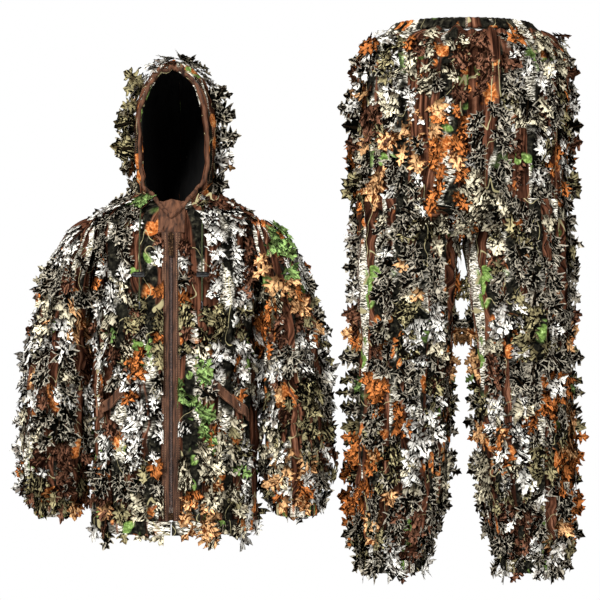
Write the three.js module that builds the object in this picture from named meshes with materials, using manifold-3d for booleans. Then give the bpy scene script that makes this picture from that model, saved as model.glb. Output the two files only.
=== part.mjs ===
// Leafy ghillie suit in two garments, a hooded zip jacket and a pair of trousers, filled out as if worn.
// Millimetres, +Z up, the front faces -Y and the wearer's left is +X.
// The origin is the middle of the jacket's neck opening, where a coat hanger holds it.
import * as THREE from "three";
import { mergeVertices } from "three/addons/utils/BufferGeometryUtils.js";
import Module from "manifold-3d";

const wasm = await Module();
wasm.setup();

// ---------------------------------------------------------------- driving dimensions
const GAP = 0.3; // left between pieces that are sewn or set together
const LEAFY = 10; // wall of a leafy panel: base cloth with its leaves lying on it
const PLAIN = 3; // wall of a welt, a facing or a pocket bag
const ELASTIC = 2.4; // thickness of an elastic inside a casing
const AROUND = 28; // sides of an oval ring
const ROUNDNESS = 0.9; // below 1 an oval turns a little square
const OVERRUN = 2; // how far a cutting solid runs past what it cuts
const REACH = 900; // half size of a cutting block that clears a whole garment
const SIDES = { left: 1, right: -1 };

const jacket = {
  length: 658, // neck seam to hem
  halfWidth: 168,
  halfDepth: 120,
  slopeDrop: 28,
  slopeHalfWidth: 146,
  slopeHalfDepth: 100,
  shoulderDrop: 48, // neck seam to the point of the shoulder
  shoulderHalfDepth: 111,
  chestDrop: 74, // from here down the front is upright
  neckHalfWidth: 84,
  neckHalfDepth: 84,
  hemHeight: 28,
};
const neckline = { halfWidth: 42, depth: 43, edgeRadius: 5 };
const placket = { halfWidth: 26, height: 30 };
const armhole = { drop: 112, halfHeight: 34, halfDepth: 34 };
const sleeve = { length: 564, topHalfWidth: 24, topHalfDepth: 30, cuffHeight: 24, cuffDraw: 8 };
const hood = {
  height: 268,
  halfWidth: 87,
  halfDepth: 118,
  cloth: 8,
  faceHalfWidth: 66,
  faceHeight: 248,
  hemRadius: 5,
};
const zip = {
  tapeWidth: 12.4,
  tapeThick: 1.5,
  tapeInset: 3, // how far the tape lies below the jacket's surface
  chainHalfWidth: 3.3,
  chainThick: 2.6,
  stopHeight: 3,
  boxHeight: 14,
  boxHalfWidth: 5,
  bottomMargin: 17, // chain end to the top of the hem band
};
const slider = {
  halfWidth: 5.2,
  length: 14,
  plate: 2.4,
  bridgeHalfWidth: 1.2,
  bridgeBar: 1.4,
  bridgeHalfLength: 6,
};
const pull = { barRadius: 0.8, armWidth: 2.4, armLength: 9, tabLength: 26, thick: 1.6 };
const pocket = { inner: 76, outer: 150, top: 352, drop: 66, welt: 24, bagDepth: 120 };
const cord = { radius: 1.5, x: 60, sides: 8, tipRadius: 2.3, tipLength: 16, end: 206 };
const eyelet = { radius: 4.6, hole: 2.1, thick: 1.6, x: 58, drop: 21 };
const lock = {
  drop: 155,
  radius: 5.6,
  halfLength: 10,
  cordHole: 2.2,
  bore: 4,
  buttonRadius: 3.7,
  buttonProud: 4,
  travel: 3,
  endWall: 1.8,
  springRadius: 3.2,
  springWire: 0.9,
};
const trousers = {
  centre: 572, // from the jacket's middle to the trousers' middle
  waistHeight: 345,
  bandHeight: 19,
  waistHalfWidth: 136,
  waistHalfDepth: 96,
  bandHalfWidth: 148,
  hipHalfWidth: 212,
  hipHalfDepth: 125,
  crotchDrop: 20,
  crotchHalfDepth: 116,
};
const leg = {
  inseam: 722, // crotch to the bottom edge
  betweenTops: 6,
  kneeHalfWidth: 98,
  kneeHalfDepth: 86,
  hemHalfWidth: 62,
  hemHalfDepth: 55,
  hemSplay: 140, // trousers' middle to the middle of the bottom edge
  cuffHeight: 26,
  swingDegrees: 20,
};

// ---------------------------------------------------------------- solids
// A closed three.js geometry as a manifold solid.
function solid(geometry) {
  const bare = geometry.clone();
  bare.deleteAttribute("normal");
  bare.deleteAttribute("uv");
  const merged = mergeVertices(bare, 1e-3);
  return new wasm.Manifold(
    new wasm.Mesh({
      numProp: 3,
      vertProperties: new Float32Array(merged.attributes.position.array),
      triVerts: new Uint32Array(merged.index.array),
    }),
  );
}

function geometryOf(made) {
  const mesh = made.getMesh();
  return new THREE.BufferGeometry()
    .setAttribute("position", new THREE.BufferAttribute(new Float32Array(mesh.vertProperties), 3))
    .setIndex(new THREE.BufferAttribute(new Uint32Array(mesh.triVerts), 1));
}

function box(x0, x1, y0, y1, z0, z1) {
  const block = new THREE.BoxGeometry(x1 - x0, y1 - y0, z1 - z0);
  return solid(block.translate((x0 + x1) / 2, (y0 + y1) / 2, (z0 + z1) / 2));
}

// A point of an oval ring, at an angle counted from the middle of the front.
function ovalPoint(ring, sine, cosine, inset = 0) {
  const bulge = (v) => Math.sign(v) * Math.abs(v) ** ROUNDNESS;
  return {
    x: (ring.x ?? 0) + bulge(sine) * (ring.a - inset),
    y: -bulge(cosine) * (ring.b - inset),
  };
}

// A closed solid through level oval rings, given from the top down.
function loft(rings) {
  const steps = rings.length - 1;
  const shape = new THREE.CylinderGeometry(1, 1, 1, AROUND, steps);
  const place = shape.attributes.position;
  for (let i = 0; i < place.count; i++) {
    const ring = rings[Math.round((0.5 - place.getY(i)) * steps)];
    const at = ovalPoint(ring, place.getX(i), place.getZ(i));
    place.setXYZ(i, at.x, at.y, ring.z);
  }
  return solid(shape);
}

const inset = (rings, by) => rings.map((ring) => ({ ...ring, a: ring.a - by, b: ring.b - by }));

// A cloth wall that hangs inside the rings from "outer" to "outer + wall", open at both ends unless roofed.
function shell(rings, wall, outer = 0, roof = 0) {
  const hollow = inset(rings, outer + wall);
  const top = hollow[0].z + (roof ? -roof : OVERRUN);
  return loft(inset(rings, outer)).subtract(loft(span(hollow, top, hollow.at(-1).z - OVERRUN)));
}

// The ring at a height. Past the first or last ring it carries on at the same slope.
function ringBetween(rings, z) {
  const found = rings.findIndex((ring) => ring.z <= z);
  const below = found < 0 ? rings.length - 1 : Math.max(1, found);
  const [high, low] = [rings[below - 1], rings[below]];
  const share = (high.z - z) / (high.z - low.z);
  const mix = (key) => (high[key] ?? 0) * (1 - share) + (low[key] ?? 0) * share;
  return { z, x: mix("x"), a: mix("a"), b: mix("b") };
}

// The rings cut off between two heights, with new rings at the cuts.
function span(rings, top, bottom) {
  const kept = rings.filter((ring) => ring.z < top && ring.z > bottom);
  return [ringBetween(rings, top), ...kept, ringBetween(rings, bottom)];
}

// How far forward a lofted surface lies at x and z.
function front(rings, x, z) {
  const ring = ringBetween(rings, z);
  const sine = Math.abs((x - ring.x) / ring.a) ** (1 / ROUNDNESS);
  return ovalPoint(ring, sine, Math.sqrt(Math.max(0, 1 - sine * sine))).y;
}

// An outline in x and z, extruded along Y from y0 to y1.
function prism(points, y0, y1) {
  const outline = new THREE.Shape(points.map(([x, z]) => new THREE.Vector2(x, z)));
  const shape = new THREE.ExtrudeGeometry(outline, { depth: y1 - y0, bevelEnabled: false });
  return solid(shape.rotateX(Math.PI / 2).translate(0, y1, 0));
}

// A round tube along a curve.
function tube(points, radius, sides, steps) {
  const section = new THREE.Shape();
  section.setFromPoints(
    Array.from({ length: sides }, (_, i) => {
      const angle = (2 * Math.PI * i) / sides;
      return new THREE.Vector2(radius * Math.cos(angle), radius * Math.sin(angle));
    }),
  );
  const path = new THREE.CatmullRomCurve3(points.map((point) => new THREE.Vector3(...point)));
  return solid(new THREE.ExtrudeGeometry(section, { steps, extrudePath: path, bevelEnabled: false }));
}

// A cylinder along X between two places.
function rodX(radius, x0, x1, sides = 20) {
  const rod = new THREE.CylinderGeometry(radius, radius, x1 - x0, sides);
  return solid(rod.rotateZ(Math.PI / 2).translate((x0 + x1) / 2, 0, 0));
}

// ---------------------------------------------------------------- colours of the pieces
const FINISH = {
  leafy: { color: 0x6b5a44, roughness: 0.95, metalness: 0 },
  brown: { color: 0x5d3a2a, roughness: 0.9, metalness: 0 },
  lining: { color: 0x14110f, roughness: 1, metalness: 0 },
  elastic: { color: 0xd9d4c8, roughness: 0.85, metalness: 0 },
  cord: { color: 0x2c3020, roughness: 0.8, metalness: 0 },
  plastic: { color: 0x151515, roughness: 0.4, metalness: 0 },
  metal: { color: 0x4a3a2e, roughness: 0.45, metalness: 1 },
  spring: { color: 0xb8b8b8, roughness: 0.3, metalness: 1 },
};

function add(group, name, made, finish) {
  const mesh = new THREE.Mesh(geometryOf(made), new THREE.MeshStandardMaterial(FINISH[finish]));
  mesh.name = name;
  group.add(mesh);
  return mesh;
}

// A sewn tube is a front panel and a back panel that meet at its side seams.
function addHalves(group, part, name, cloth) {
  const frontHalf = box(-REACH, REACH, -REACH, -GAP / 2, -REACH, REACH);
  const backHalf = box(-REACH, REACH, GAP / 2, REACH, -REACH, REACH);
  add(group, part + "_front_" + name, cloth.intersect(frontHalf), "leafy");
  add(group, part + "_back_" + name, cloth.intersect(backHalf), "leafy");
}

// ---------------------------------------------------------------- the jacket's body
const hemTop = -jacket.length + jacket.hemHeight;
const torsoRings = [
  { z: 3, a: jacket.neckHalfWidth, b: jacket.neckHalfDepth },
  { z: -jacket.slopeDrop, a: jacket.slopeHalfWidth, b: jacket.slopeHalfDepth },
  { z: -jacket.shoulderDrop, a: jacket.halfWidth, b: jacket.shoulderHalfDepth },
  { z: -jacket.chestDrop, a: jacket.halfWidth, b: jacket.halfDepth },
  { z: -armhole.drop - armhole.halfHeight - 40, a: jacket.halfWidth, b: jacket.halfDepth },
  { z: (hemTop - armhole.drop) / 2 - 60, a: jacket.halfWidth - 2, b: jacket.halfDepth },
  { z: hemTop, a: jacket.halfWidth, b: jacket.halfDepth },
  { z: -jacket.length, a: jacket.halfWidth, b: jacket.halfDepth },
];
const neckTop = torsoRings[0].z;
const zipSeam = zip.chainHalfWidth + GAP + zip.tapeWidth; // outer edge of a zip tape
const placketBottom = -neckline.depth - placket.height;
const chainTop = placketBottom - GAP - zip.stopHeight - GAP;
const chainBottom = hemTop + zip.bottomMargin;
const tapeFront = -jacket.halfDepth + zip.tapeInset;
const chainFront = tapeFront - (zip.chainThick - zip.tapeThick) / 2;

// The bound edge of the neckline's V, from one side of the hood to the other.
function neckEdgePath() {
  const place = (x, z) => [x, front(torsoRings, x, z), z];
  const half = neckline.halfWidth;
  const low = -neckline.depth;
  return [
    place(half, neckTop - neckline.edgeRadius * 0.4),
    place(half * 0.55, low * 0.5),
    place(half * 0.16, low * 0.92),
    place(-half * 0.16, low * 0.92),
    place(-half * 0.55, low * 0.5),
    place(-half, neckTop - neckline.edgeRadius * 0.4),
  ];
}

function armholeCut() {
  const cut = new THREE.CylinderGeometry(1, 1, 2 * REACH, 24).rotateZ(Math.PI / 2);
  return solid(cut.scale(1, armhole.halfDepth, armhole.halfHeight).translate(0, 0, -armhole.drop));
}

function torsoWall() {
  const half = neckline.halfWidth;
  const notch = prism([[half, OVERRUN * 4], [0, -neckline.depth], [-half, OVERRUN * 4]], -REACH, 0);
  const edge = tube(neckEdgePath(), neckline.edgeRadius + GAP, 10, 24);
  const wall = shell(span(torsoRings, neckTop, hemTop + GAP), LEAFY);
  const level = box(-REACH, REACH, -REACH, REACH, -REACH, neckTop);
  return wall.subtract(armholeCut()).subtract(notch).subtract(edge).intersect(level);
}

function buildBody(group) {
  const wall = torsoWall();
  const placketBox = (grow) =>
    box(-placket.halfWidth - grow, placket.halfWidth + grow, -REACH, 0, placketBottom - grow, 0);
  add(group, "neck_placket", wall.intersect(placketBox(0)), "brown");
  add(group, "jacket_back", wall.intersect(box(-REACH, REACH, GAP / 2, REACH, -REACH, REACH)), "leafy");
  for (const [name, side] of Object.entries(SIDES)) {
    const near = side * (zipSeam + GAP);
    const far = side * REACH;
    const half = box(Math.min(near, far), Math.max(near, far), -REACH, -GAP / 2, -REACH, REACH);
    add(group, "jacket_front_" + name, wall.intersect(half).subtract(placketBox(GAP)), "leafy");
  }
  const level = box(-REACH, REACH, -REACH, REACH, -REACH, neckTop);
  add(group, "neck_edge", tube(neckEdgePath(), neckline.edgeRadius, 10, 24).intersect(level), "brown");
  const slit = box(-GAP * 2, GAP * 2, -REACH, 0, -REACH, REACH);
  const hem = span(torsoRings, hemTop, -jacket.length);
  add(group, "hem_band", shell(hem, LEAFY).subtract(slit), "leafy");
  const inside = span(torsoRings, hemTop - ELASTIC, -jacket.length + ELASTIC);
  add(group, "hem_elastic", shell(inside, ELASTIC, LEAFY + GAP).subtract(slit), "elastic");
}

function buildPockets(group) {
  for (const [name, side] of Object.entries(SIDES)) {
    const welt = [
      [side * pocket.inner, -pocket.top],
      [side * pocket.outer, -pocket.top - pocket.drop],
      [side * pocket.outer, -pocket.top - pocket.drop - pocket.welt],
      [side * pocket.inner, -pocket.top - pocket.welt],
    ];
    const proudCloth = shell(torsoRings, PLAIN, -PLAIN - GAP);
    add(group, "pocket_welt_" + name, proudCloth.intersect(prism(welt, -REACH, 0)), "brown");
    const bag = [
      [side * pocket.inner, -pocket.top],
      [side * pocket.outer, -pocket.top - pocket.drop],
      [side * pocket.outer, -pocket.top - pocket.drop - pocket.bagDepth],
      [side * pocket.inner, -pocket.top - pocket.drop - pocket.bagDepth],
    ];
    const hiddenCloth = shell(torsoRings, PLAIN, LEAFY + GAP);
    add(group, "pocket_bag_" + name, hiddenCloth.intersect(prism(bag, -REACH, 0)), "lining");
  }
}

// ---------------------------------------------------------------- the front zip
function buildZip(group) {
  const chainBack = chainFront + zip.chainThick;
  for (const [name, side] of Object.entries(SIDES)) {
    const inner = side * (zip.chainHalfWidth + GAP);
    const outer = side * zipSeam;
    const across = [Math.min(inner, outer), Math.max(inner, outer)];
    const strip = box(...across, -REACH, 0, hemTop + GAP, placketBottom - GAP);
    add(group, "zip_tape_" + name, shell(torsoRings, zip.tapeThick, zip.tapeInset).intersect(strip), "brown");
    const stop = side > 0 ? [GAP, zip.chainHalfWidth] : [-zip.chainHalfWidth, -GAP];
    add(
      group,
      "zip_stop_" + name,
      box(...stop, chainFront, chainBack, chainTop + GAP, chainTop + GAP + zip.stopHeight),
      "metal",
    );
  }
  const half = zip.chainHalfWidth;
  add(group, "zip_chain", box(-half, half, chainFront, chainBack, chainBottom, chainTop), "metal");
  const boxTop = chainBottom - GAP;
  const end = box(-half, half, chainFront, chainBack, boxTop - zip.boxHeight, boxTop);
  const face = box(
    -zip.boxHalfWidth,
    zip.boxHalfWidth,
    chainFront - PLAIN / 2,
    chainFront + OVERRUN / 10,
    boxTop - zip.boxHeight,
    boxTop,
  );
  add(group, "zip_end_box", end.add(face), "metal");
}

// The slider rests at the top of the chain: a front plate with its bridge, and a back plate behind the chain.
function buildSlider(group) {
  const plateBack = chainFront - GAP;
  const plateFront = plateBack - slider.plate;
  const middle = chainTop - slider.length / 2;
  const barAxis = plateFront - pull.barRadius * 3;
  const under = barAxis - pull.barRadius - GAP;
  const half = slider.halfWidth;
  const bridge = slider.bridgeHalfLength;
  const wide = slider.bridgeHalfWidth;
  const height = slider.length / 2;
  const post = (from, to) => box(-wide, wide, under - slider.bridgeBar, plateFront + 0.2, from, to);
  const body = box(-half, half, plateFront, plateBack, -height, height)
    .add(box(-wide, wide, under - slider.bridgeBar, under, -bridge, bridge))
    .add(post(bridge - slider.bridgeBar, bridge))
    .add(post(-bridge, -bridge + slider.bridgeBar));
  add(group, "zip_slider", body, "metal").position.z = middle;
  const backFront = chainFront + zip.chainThick + GAP;
  const backPlate = box(-half, half, backFront, backFront + slider.plate, -height, height);
  add(group, "zip_slider_back", backPlate, "metal").position.z = middle;

  const armInner = wide + GAP * 2;
  const armOuter = armInner + pull.armWidth;
  const thick = pull.thick / 2;
  const arm = (x0, x1) => box(x0, x1, -thick, thick, -pull.armLength - 0.2, pull.barRadius);
  const tab = rodX(pull.barRadius, -armOuter + 0.2, armOuter - 0.2, 12)
    .add(arm(armInner, armOuter))
    .add(arm(-armOuter, -armInner))
    .add(box(-armOuter, armOuter, -thick, thick, -pull.armLength - pull.tabLength, -pull.armLength));
  add(group, "zip_pull", tab, "metal").position.set(0, barAxis, middle);
}

// ---------------------------------------------------------------- sleeves
const sleeveRoot = jacket.halfWidth + GAP;

// Sleeve rings on one side: the inner edge stays on the jacket's side, the outer edge swells below the elbow.
function sleeveRings(side) {
  const top = -jacket.shoulderDrop + 4;
  const ring = (share, halfWidth, halfDepth, clear) => ({
    z: top - share * sleeve.length,
    x: side * (sleeveRoot + clear + halfWidth),
    a: halfWidth,
    b: halfDepth,
  });
  return [
    ring(0, sleeve.topHalfWidth, sleeve.topHalfDepth, -6),
    ring(0.03, 34, 56, -6),
    ring(0.1, 43, 68, -6),
    ring(0.2, 50, 74, -2),
    ring(0.36, 57, 76, 2),
    ring(0.54, 65, 76, 4),
    ring(0.74, 70, 74, 6),
    ring(0.91, 64, 68, 12),
    ring(1, 50, 56, 22),
  ];
}

function buildSleeve(group, name, side) {
  const rings = sleeveRings(side);
  const wall = shell(rings, LEAFY, 0, LEAFY);
  const outside = side > 0 ? [sleeveRoot, REACH] : [-REACH, -sleeveRoot];
  const cut = wall.intersect(box(...outside, -REACH, REACH, -REACH, REACH));
  const last = rings.at(-1);
  const reach = side > 0 ? [0, last.x] : [last.x, 0];
  const mouth = armholeCut().intersect(box(...reach, -REACH, REACH, -REACH, REACH));
  const cloth = cut.subtract(mouth);
  addHalves(group, "sleeve", name, cloth);
  const drawn = { ...last, a: last.a - sleeve.cuffDraw, b: last.b - sleeve.cuffDraw };
  const cuff = [
    { ...drawn, z: last.z - GAP },
    { ...drawn, z: last.z - GAP - sleeve.cuffHeight },
  ];
  add(group, "sleeve_cuff_" + name, shell(cuff, LEAFY), "leafy");
  const band = [
    { ...drawn, z: cuff[0].z - ELASTIC },
    { ...drawn, z: cuff[1].z + ELASTIC },
  ];
  add(group, "sleeve_elastic_" + name, shell(band, ELASTIC, LEAFY + GAP), "elastic");
}

// ---------------------------------------------------------------- the hood
const hoodBottom = neckTop + GAP;
const hoodRing = (share, a, b) => ({ z: hoodBottom + share * hood.height, a, b });
const hoodRings = [
  hoodRing(1, hood.halfWidth * 0.22, hood.halfDepth * 0.3),
  hoodRing(0.95, hood.halfWidth * 0.48, hood.halfDepth * 0.58),
  hoodRing(0.86, hood.halfWidth * 0.72, hood.halfDepth * 0.8),
  hoodRing(0.7, hood.halfWidth * 0.93, hood.halfDepth * 0.96),
  hoodRing(0.48, hood.halfWidth, hood.halfDepth),
  hoodRing(0.22, hood.halfWidth * 0.98, hood.halfDepth * 0.94),
  hoodRing(0, jacket.neckHalfWidth - 4, jacket.neckHalfDepth),
];

// Half of the face opening's outline, from the neck seam up to the crown.
const faceHalf = [
  [neckline.halfWidth, 0],
  [hood.faceHalfWidth * 0.88, 0.17],
  [hood.faceHalfWidth, 0.4],
  [hood.faceHalfWidth * 0.95, 0.62],
  [hood.faceHalfWidth * 0.74, 0.81],
  [hood.faceHalfWidth * 0.42, 0.94],
  [0, 1],
].map(([x, share]) => [x, hoodBottom + share * hood.faceHeight]);
const faceOutline = [...faceHalf, ...faceHalf.slice(0, -1).reverse().map(([x, z]) => [-x, z])];

function buildHood(group) {
  const path = faceOutline.map(([x, z]) => [x, front(hoodRings, x, z), z]);
  const face = prism(
    faceOutline.map(([x, z]) => [x, z === hoodBottom ? z - OVERRUN : z]),
    -REACH,
    0,
  );
  const roofed = shell(hoodRings, hood.cloth, 0, hood.cloth);
  const above = box(-REACH, REACH, -REACH, REACH, hoodBottom, REACH);
  const cloth = roofed.subtract(face).subtract(tube(path, hood.hemRadius + GAP, 10, 44)).intersect(above);
  for (const [name, side] of Object.entries(SIDES)) {
    const half = side > 0 ? [GAP / 2, REACH] : [-REACH, -GAP / 2];
    add(group, "hood_" + name, cloth.intersect(box(...half, -REACH, REACH, -REACH, REACH)), "leafy");
  }
  add(group, "hood_hem", tube(path, hood.hemRadius, 10, 44).intersect(above), "brown");
}

// ---------------------------------------------------------------- hood cords, with their eyelets, locks and tips
// The cords hang just far enough forward for their locks to clear the chest.
const lockClearance = 0.8;
const cordY = front(torsoRings, cord.x - lock.halfLength, -lock.drop) - lock.radius - lockClearance;
// The left cord's route from its eyelet: over the collar and straight down the chest.
const cordRoute = [
  [60.2, -101, -29],
  [60, -108, -43],
  [60, -115, -60],
  [60, -120.6, -81],
  [cord.x, cordY, -104],
  [cord.x, cordY, -150],
  [cord.x, cordY, -cord.end + GAP],
];

function buildCord(group, name, side) {
  const z = -eyelet.drop;
  const x = side * eyelet.x;
  const y = front(torsoRings, x, z);
  const slope = 1;
  const normal = new THREE.Vector3(
    (front(torsoRings, x + slope, z) - front(torsoRings, x - slope, z)) / (2 * slope),
    -1,
    (front(torsoRings, x, z + slope) - front(torsoRings, x, z - slope)) / (2 * slope),
  ).normalize();
  const ring = new THREE.LatheGeometry(
    [
      [eyelet.hole, 0],
      [eyelet.radius, 0],
      [eyelet.radius, eyelet.thick],
      [eyelet.hole, eyelet.thick],
      [eyelet.hole, 0],
    ].map(([r, h]) => new THREE.Vector2(r, h)),
    16,
  );
  ring.applyQuaternion(new THREE.Quaternion().setFromUnitVectors(new THREE.Vector3(0, 1, 0), normal));
  add(group, "cord_eyelet_" + name, solid(ring), "metal").position.set(
    x + normal.x * GAP,
    y + normal.y * GAP,
    z + normal.z * GAP,
  );
  const clear = (distance) => [
    x + normal.x * distance,
    y + normal.y * distance,
    z + normal.z * distance,
  ];
  const face = 2 * GAP + eyelet.thick;
  const hanging = cordRoute.map(([px, py, pz]) => [side * px, py, pz]);
  const route = [clear(face), clear(face + 4 * cord.radius), ...hanging];
  add(group, "hood_cord_" + name, tube(route, cord.radius, cord.sides, 44), "cord");
  const tip = new THREE.CylinderGeometry(cord.tipRadius, cord.tipRadius * 0.8, cord.tipLength, 12);
  add(group, "cord_tip_" + name, solid(tip.rotateX(Math.PI / 2)), "plastic").position.set(
    side * cord.x,
    cordY,
    -cord.end - cord.tipLength / 2,
  );
}

// A barrel lock lies across the cord. Its button slides in from the outer end against a spring.
function buildLock(group, name, side) {
  const reachX = (from, to) => (side > 0 ? [from, to] : [-to, -from]);
  const through = (radius) =>
    solid(new THREE.CylinderGeometry(radius, radius, 6 * lock.radius, 16).rotateX(Math.PI / 2));
  const place = (mesh) => mesh.position.set(side * cord.x, cordY, -lock.drop);
  const boreEnd = -lock.halfLength + lock.endWall;
  const barrel = rodX(lock.radius, ...reachX(-lock.halfLength, lock.halfLength))
    .subtract(rodX(lock.bore, ...reachX(boreEnd, lock.halfLength + OVERRUN)))
    .subtract(through(lock.cordHole));
  place(add(group, "cord_lock_" + name, barrel, "plastic"));

  const slotEnd = lock.cordHole + lock.travel;
  const slot = box(
    ...reachX(-lock.cordHole, slotEnd),
    -lock.cordHole,
    lock.cordHole,
    -2 * lock.radius,
    2 * lock.radius,
  );
  const buttonBack = -lock.cordHole - GAP * 2;
  const buttonEnd = lock.halfLength + lock.buttonProud;
  const button = rodX(lock.buttonRadius, ...reachX(buttonBack, buttonEnd)).subtract(slot);
  place(add(group, "cord_lock_button_" + name, button, "plastic"));

  const springLength = buttonBack - lock.travel - boreEnd - 2 * GAP;
  const coil = rodX(lock.springRadius, ...reachX(boreEnd + GAP, boreEnd + GAP + springLength)).subtract(
    rodX(lock.springRadius - lock.springWire, ...reachX(boreEnd - OVERRUN, boreEnd + springLength + OVERRUN)),
  );
  place(add(group, "cord_lock_spring_" + name, coil, "spring"));
}

// ---------------------------------------------------------------- the trousers
const bandBottom = trousers.waistHeight - trousers.bandHeight;
const crotch = -trousers.crotchDrop;
const seatRings = [
  { z: bandBottom - GAP, a: trousers.hipHalfWidth * 0.8, b: trousers.hipHalfDepth * 0.86 },
  { z: bandBottom - 16, a: trousers.hipHalfWidth * 0.89, b: trousers.hipHalfDepth * 0.92 },
  { z: bandBottom - 44, a: trousers.hipHalfWidth * 0.96, b: trousers.hipHalfDepth * 0.97 },
  { z: bandBottom - 120, a: trousers.hipHalfWidth, b: trousers.hipHalfDepth },
  { z: crotch + 80, a: trousers.hipHalfWidth, b: trousers.hipHalfDepth },
  { z: crotch, a: trousers.hipHalfWidth, b: trousers.crotchHalfDepth },
];

function buildSeat(group) {
  const band = [
    { z: trousers.waistHeight, a: trousers.waistHalfWidth, b: trousers.waistHalfDepth },
    { z: bandBottom, a: trousers.bandHalfWidth, b: trousers.waistHalfDepth + 4 },
  ];
  add(group, "waistband", shell(band, LEAFY), "leafy");
  const inside = span(band, trousers.waistHeight - ELASTIC, bandBottom + ELASTIC);
  add(group, "waist_elastic", shell(inside, ELASTIC, LEAFY + GAP), "elastic");
  const wall = shell(seatRings, LEAFY + 14).intersect(loft(seatRings));
  const lean = shell(seatRings, LEAFY);
  const top = box(-REACH, REACH, -REACH, REACH, bandBottom - 16, REACH);
  const cloth = lean.add(wall.intersect(top));
  for (const [name, side] of Object.entries(SIDES)) {
    const across = side > 0 ? [GAP / 2, REACH] : [-REACH, -GAP / 2];
    const frontHalf = box(...across, -REACH, -GAP / 2, -REACH, REACH);
    const backHalf = box(...across, GAP / 2, REACH, -REACH, REACH);
    add(group, "seat_front_" + name, cloth.intersect(frontHalf), "leafy");
    add(group, "seat_back_" + name, cloth.intersect(backHalf), "leafy");
  }
}

function legRings(side) {
  const topHalf = (trousers.hipHalfWidth - leg.betweenTops / 2) / 2;
  const topMiddle = leg.betweenTops / 2 + topHalf;
  const bottom = crotch - leg.inseam + leg.cuffHeight;
  const down = (share) => crotch + share * (bottom - crotch);
  return [
    { z: crotch + OVERRUN, x: side * topMiddle, a: topHalf, b: trousers.crotchHalfDepth - 6 },
    { z: down(0.14), x: side * (topMiddle + 1), a: topHalf, b: trousers.crotchHalfDepth - 12 },
    { z: down(0.42), x: side * (topMiddle + 6), a: leg.kneeHalfWidth, b: leg.kneeHalfDepth },
    { z: down(0.8), x: side * (topMiddle + 14), a: leg.kneeHalfWidth, b: leg.kneeHalfDepth },
    { z: down(0.93), x: side * (leg.hemSplay - 8), a: leg.kneeHalfWidth * 0.84, b: leg.kneeHalfDepth * 0.84 },
    { z: bottom, x: side * leg.hemSplay, a: leg.hemHalfWidth, b: leg.hemHalfDepth },
  ];
}

function buildLeg(group, name, side) {
  const rings = legRings(side);
  const fall = REACH * Math.tan(THREE.MathUtils.degToRad(leg.swingDegrees));
  const apex = crotch - GAP;
  // The top falls away to the front and back of the hip line, so that the leg can swing under the seat.
  const roof = new THREE.Shape(
    [
      [0, apex],
      [REACH, apex - fall],
      [REACH, -2 * REACH],
      [-REACH, -2 * REACH],
      [-REACH, apex - fall],
    ].map(([y, z]) => new THREE.Vector2(y, z)),
  );
  const under = new THREE.ExtrudeGeometry(roof, { depth: 2 * REACH, bevelEnabled: false });
  under.rotateX(Math.PI / 2).rotateZ(Math.PI / 2).translate(-REACH, 0, 0);
  const cloth = shell(rings, LEAFY).intersect(solid(under));
  addHalves(group, "leg", name, cloth);
  const last = rings.at(-1);
  const cuff = [
    { ...last, z: last.z - GAP },
    { ...last, z: last.z - leg.cuffHeight, a: last.a - 3, b: last.b - 3 },
  ];
  add(group, "leg_cuff_" + name, shell(cuff, LEAFY), "leafy");
  const inside = span(cuff, cuff[0].z - ELASTIC, cuff[1].z + ELASTIC);
  add(group, "leg_elastic_" + name, shell(inside, ELASTIC, LEAFY + GAP), "elastic");
}

// ---------------------------------------------------------------- the suit
const suit = new THREE.Group();
const jacketGroup = new THREE.Group();
const trousersGroup = new THREE.Group();
trousersGroup.position.x = trousers.centre;
suit.add(jacketGroup, trousersGroup);

buildBody(jacketGroup);
buildPockets(jacketGroup);
buildZip(jacketGroup);
buildSlider(jacketGroup);
buildHood(jacketGroup);
for (const [name, side] of Object.entries(SIDES)) {
  buildSleeve(jacketGroup, name, side);
  buildCord(jacketGroup, name, side);
  buildLock(jacketGroup, name, side);
}
buildSeat(trousersGroup);
for (const [name, side] of Object.entries(SIDES)) {
  buildLeg(trousersGroup, name, side);
}

export default suit;
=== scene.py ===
"""Leafy camouflage suit, a hooded zip jacket beside its trousers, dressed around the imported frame."""

from __future__ import annotations

import logging
import math
from collections.abc import Callable, Sequence
from dataclasses import dataclass, field
from enum import Enum

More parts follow.
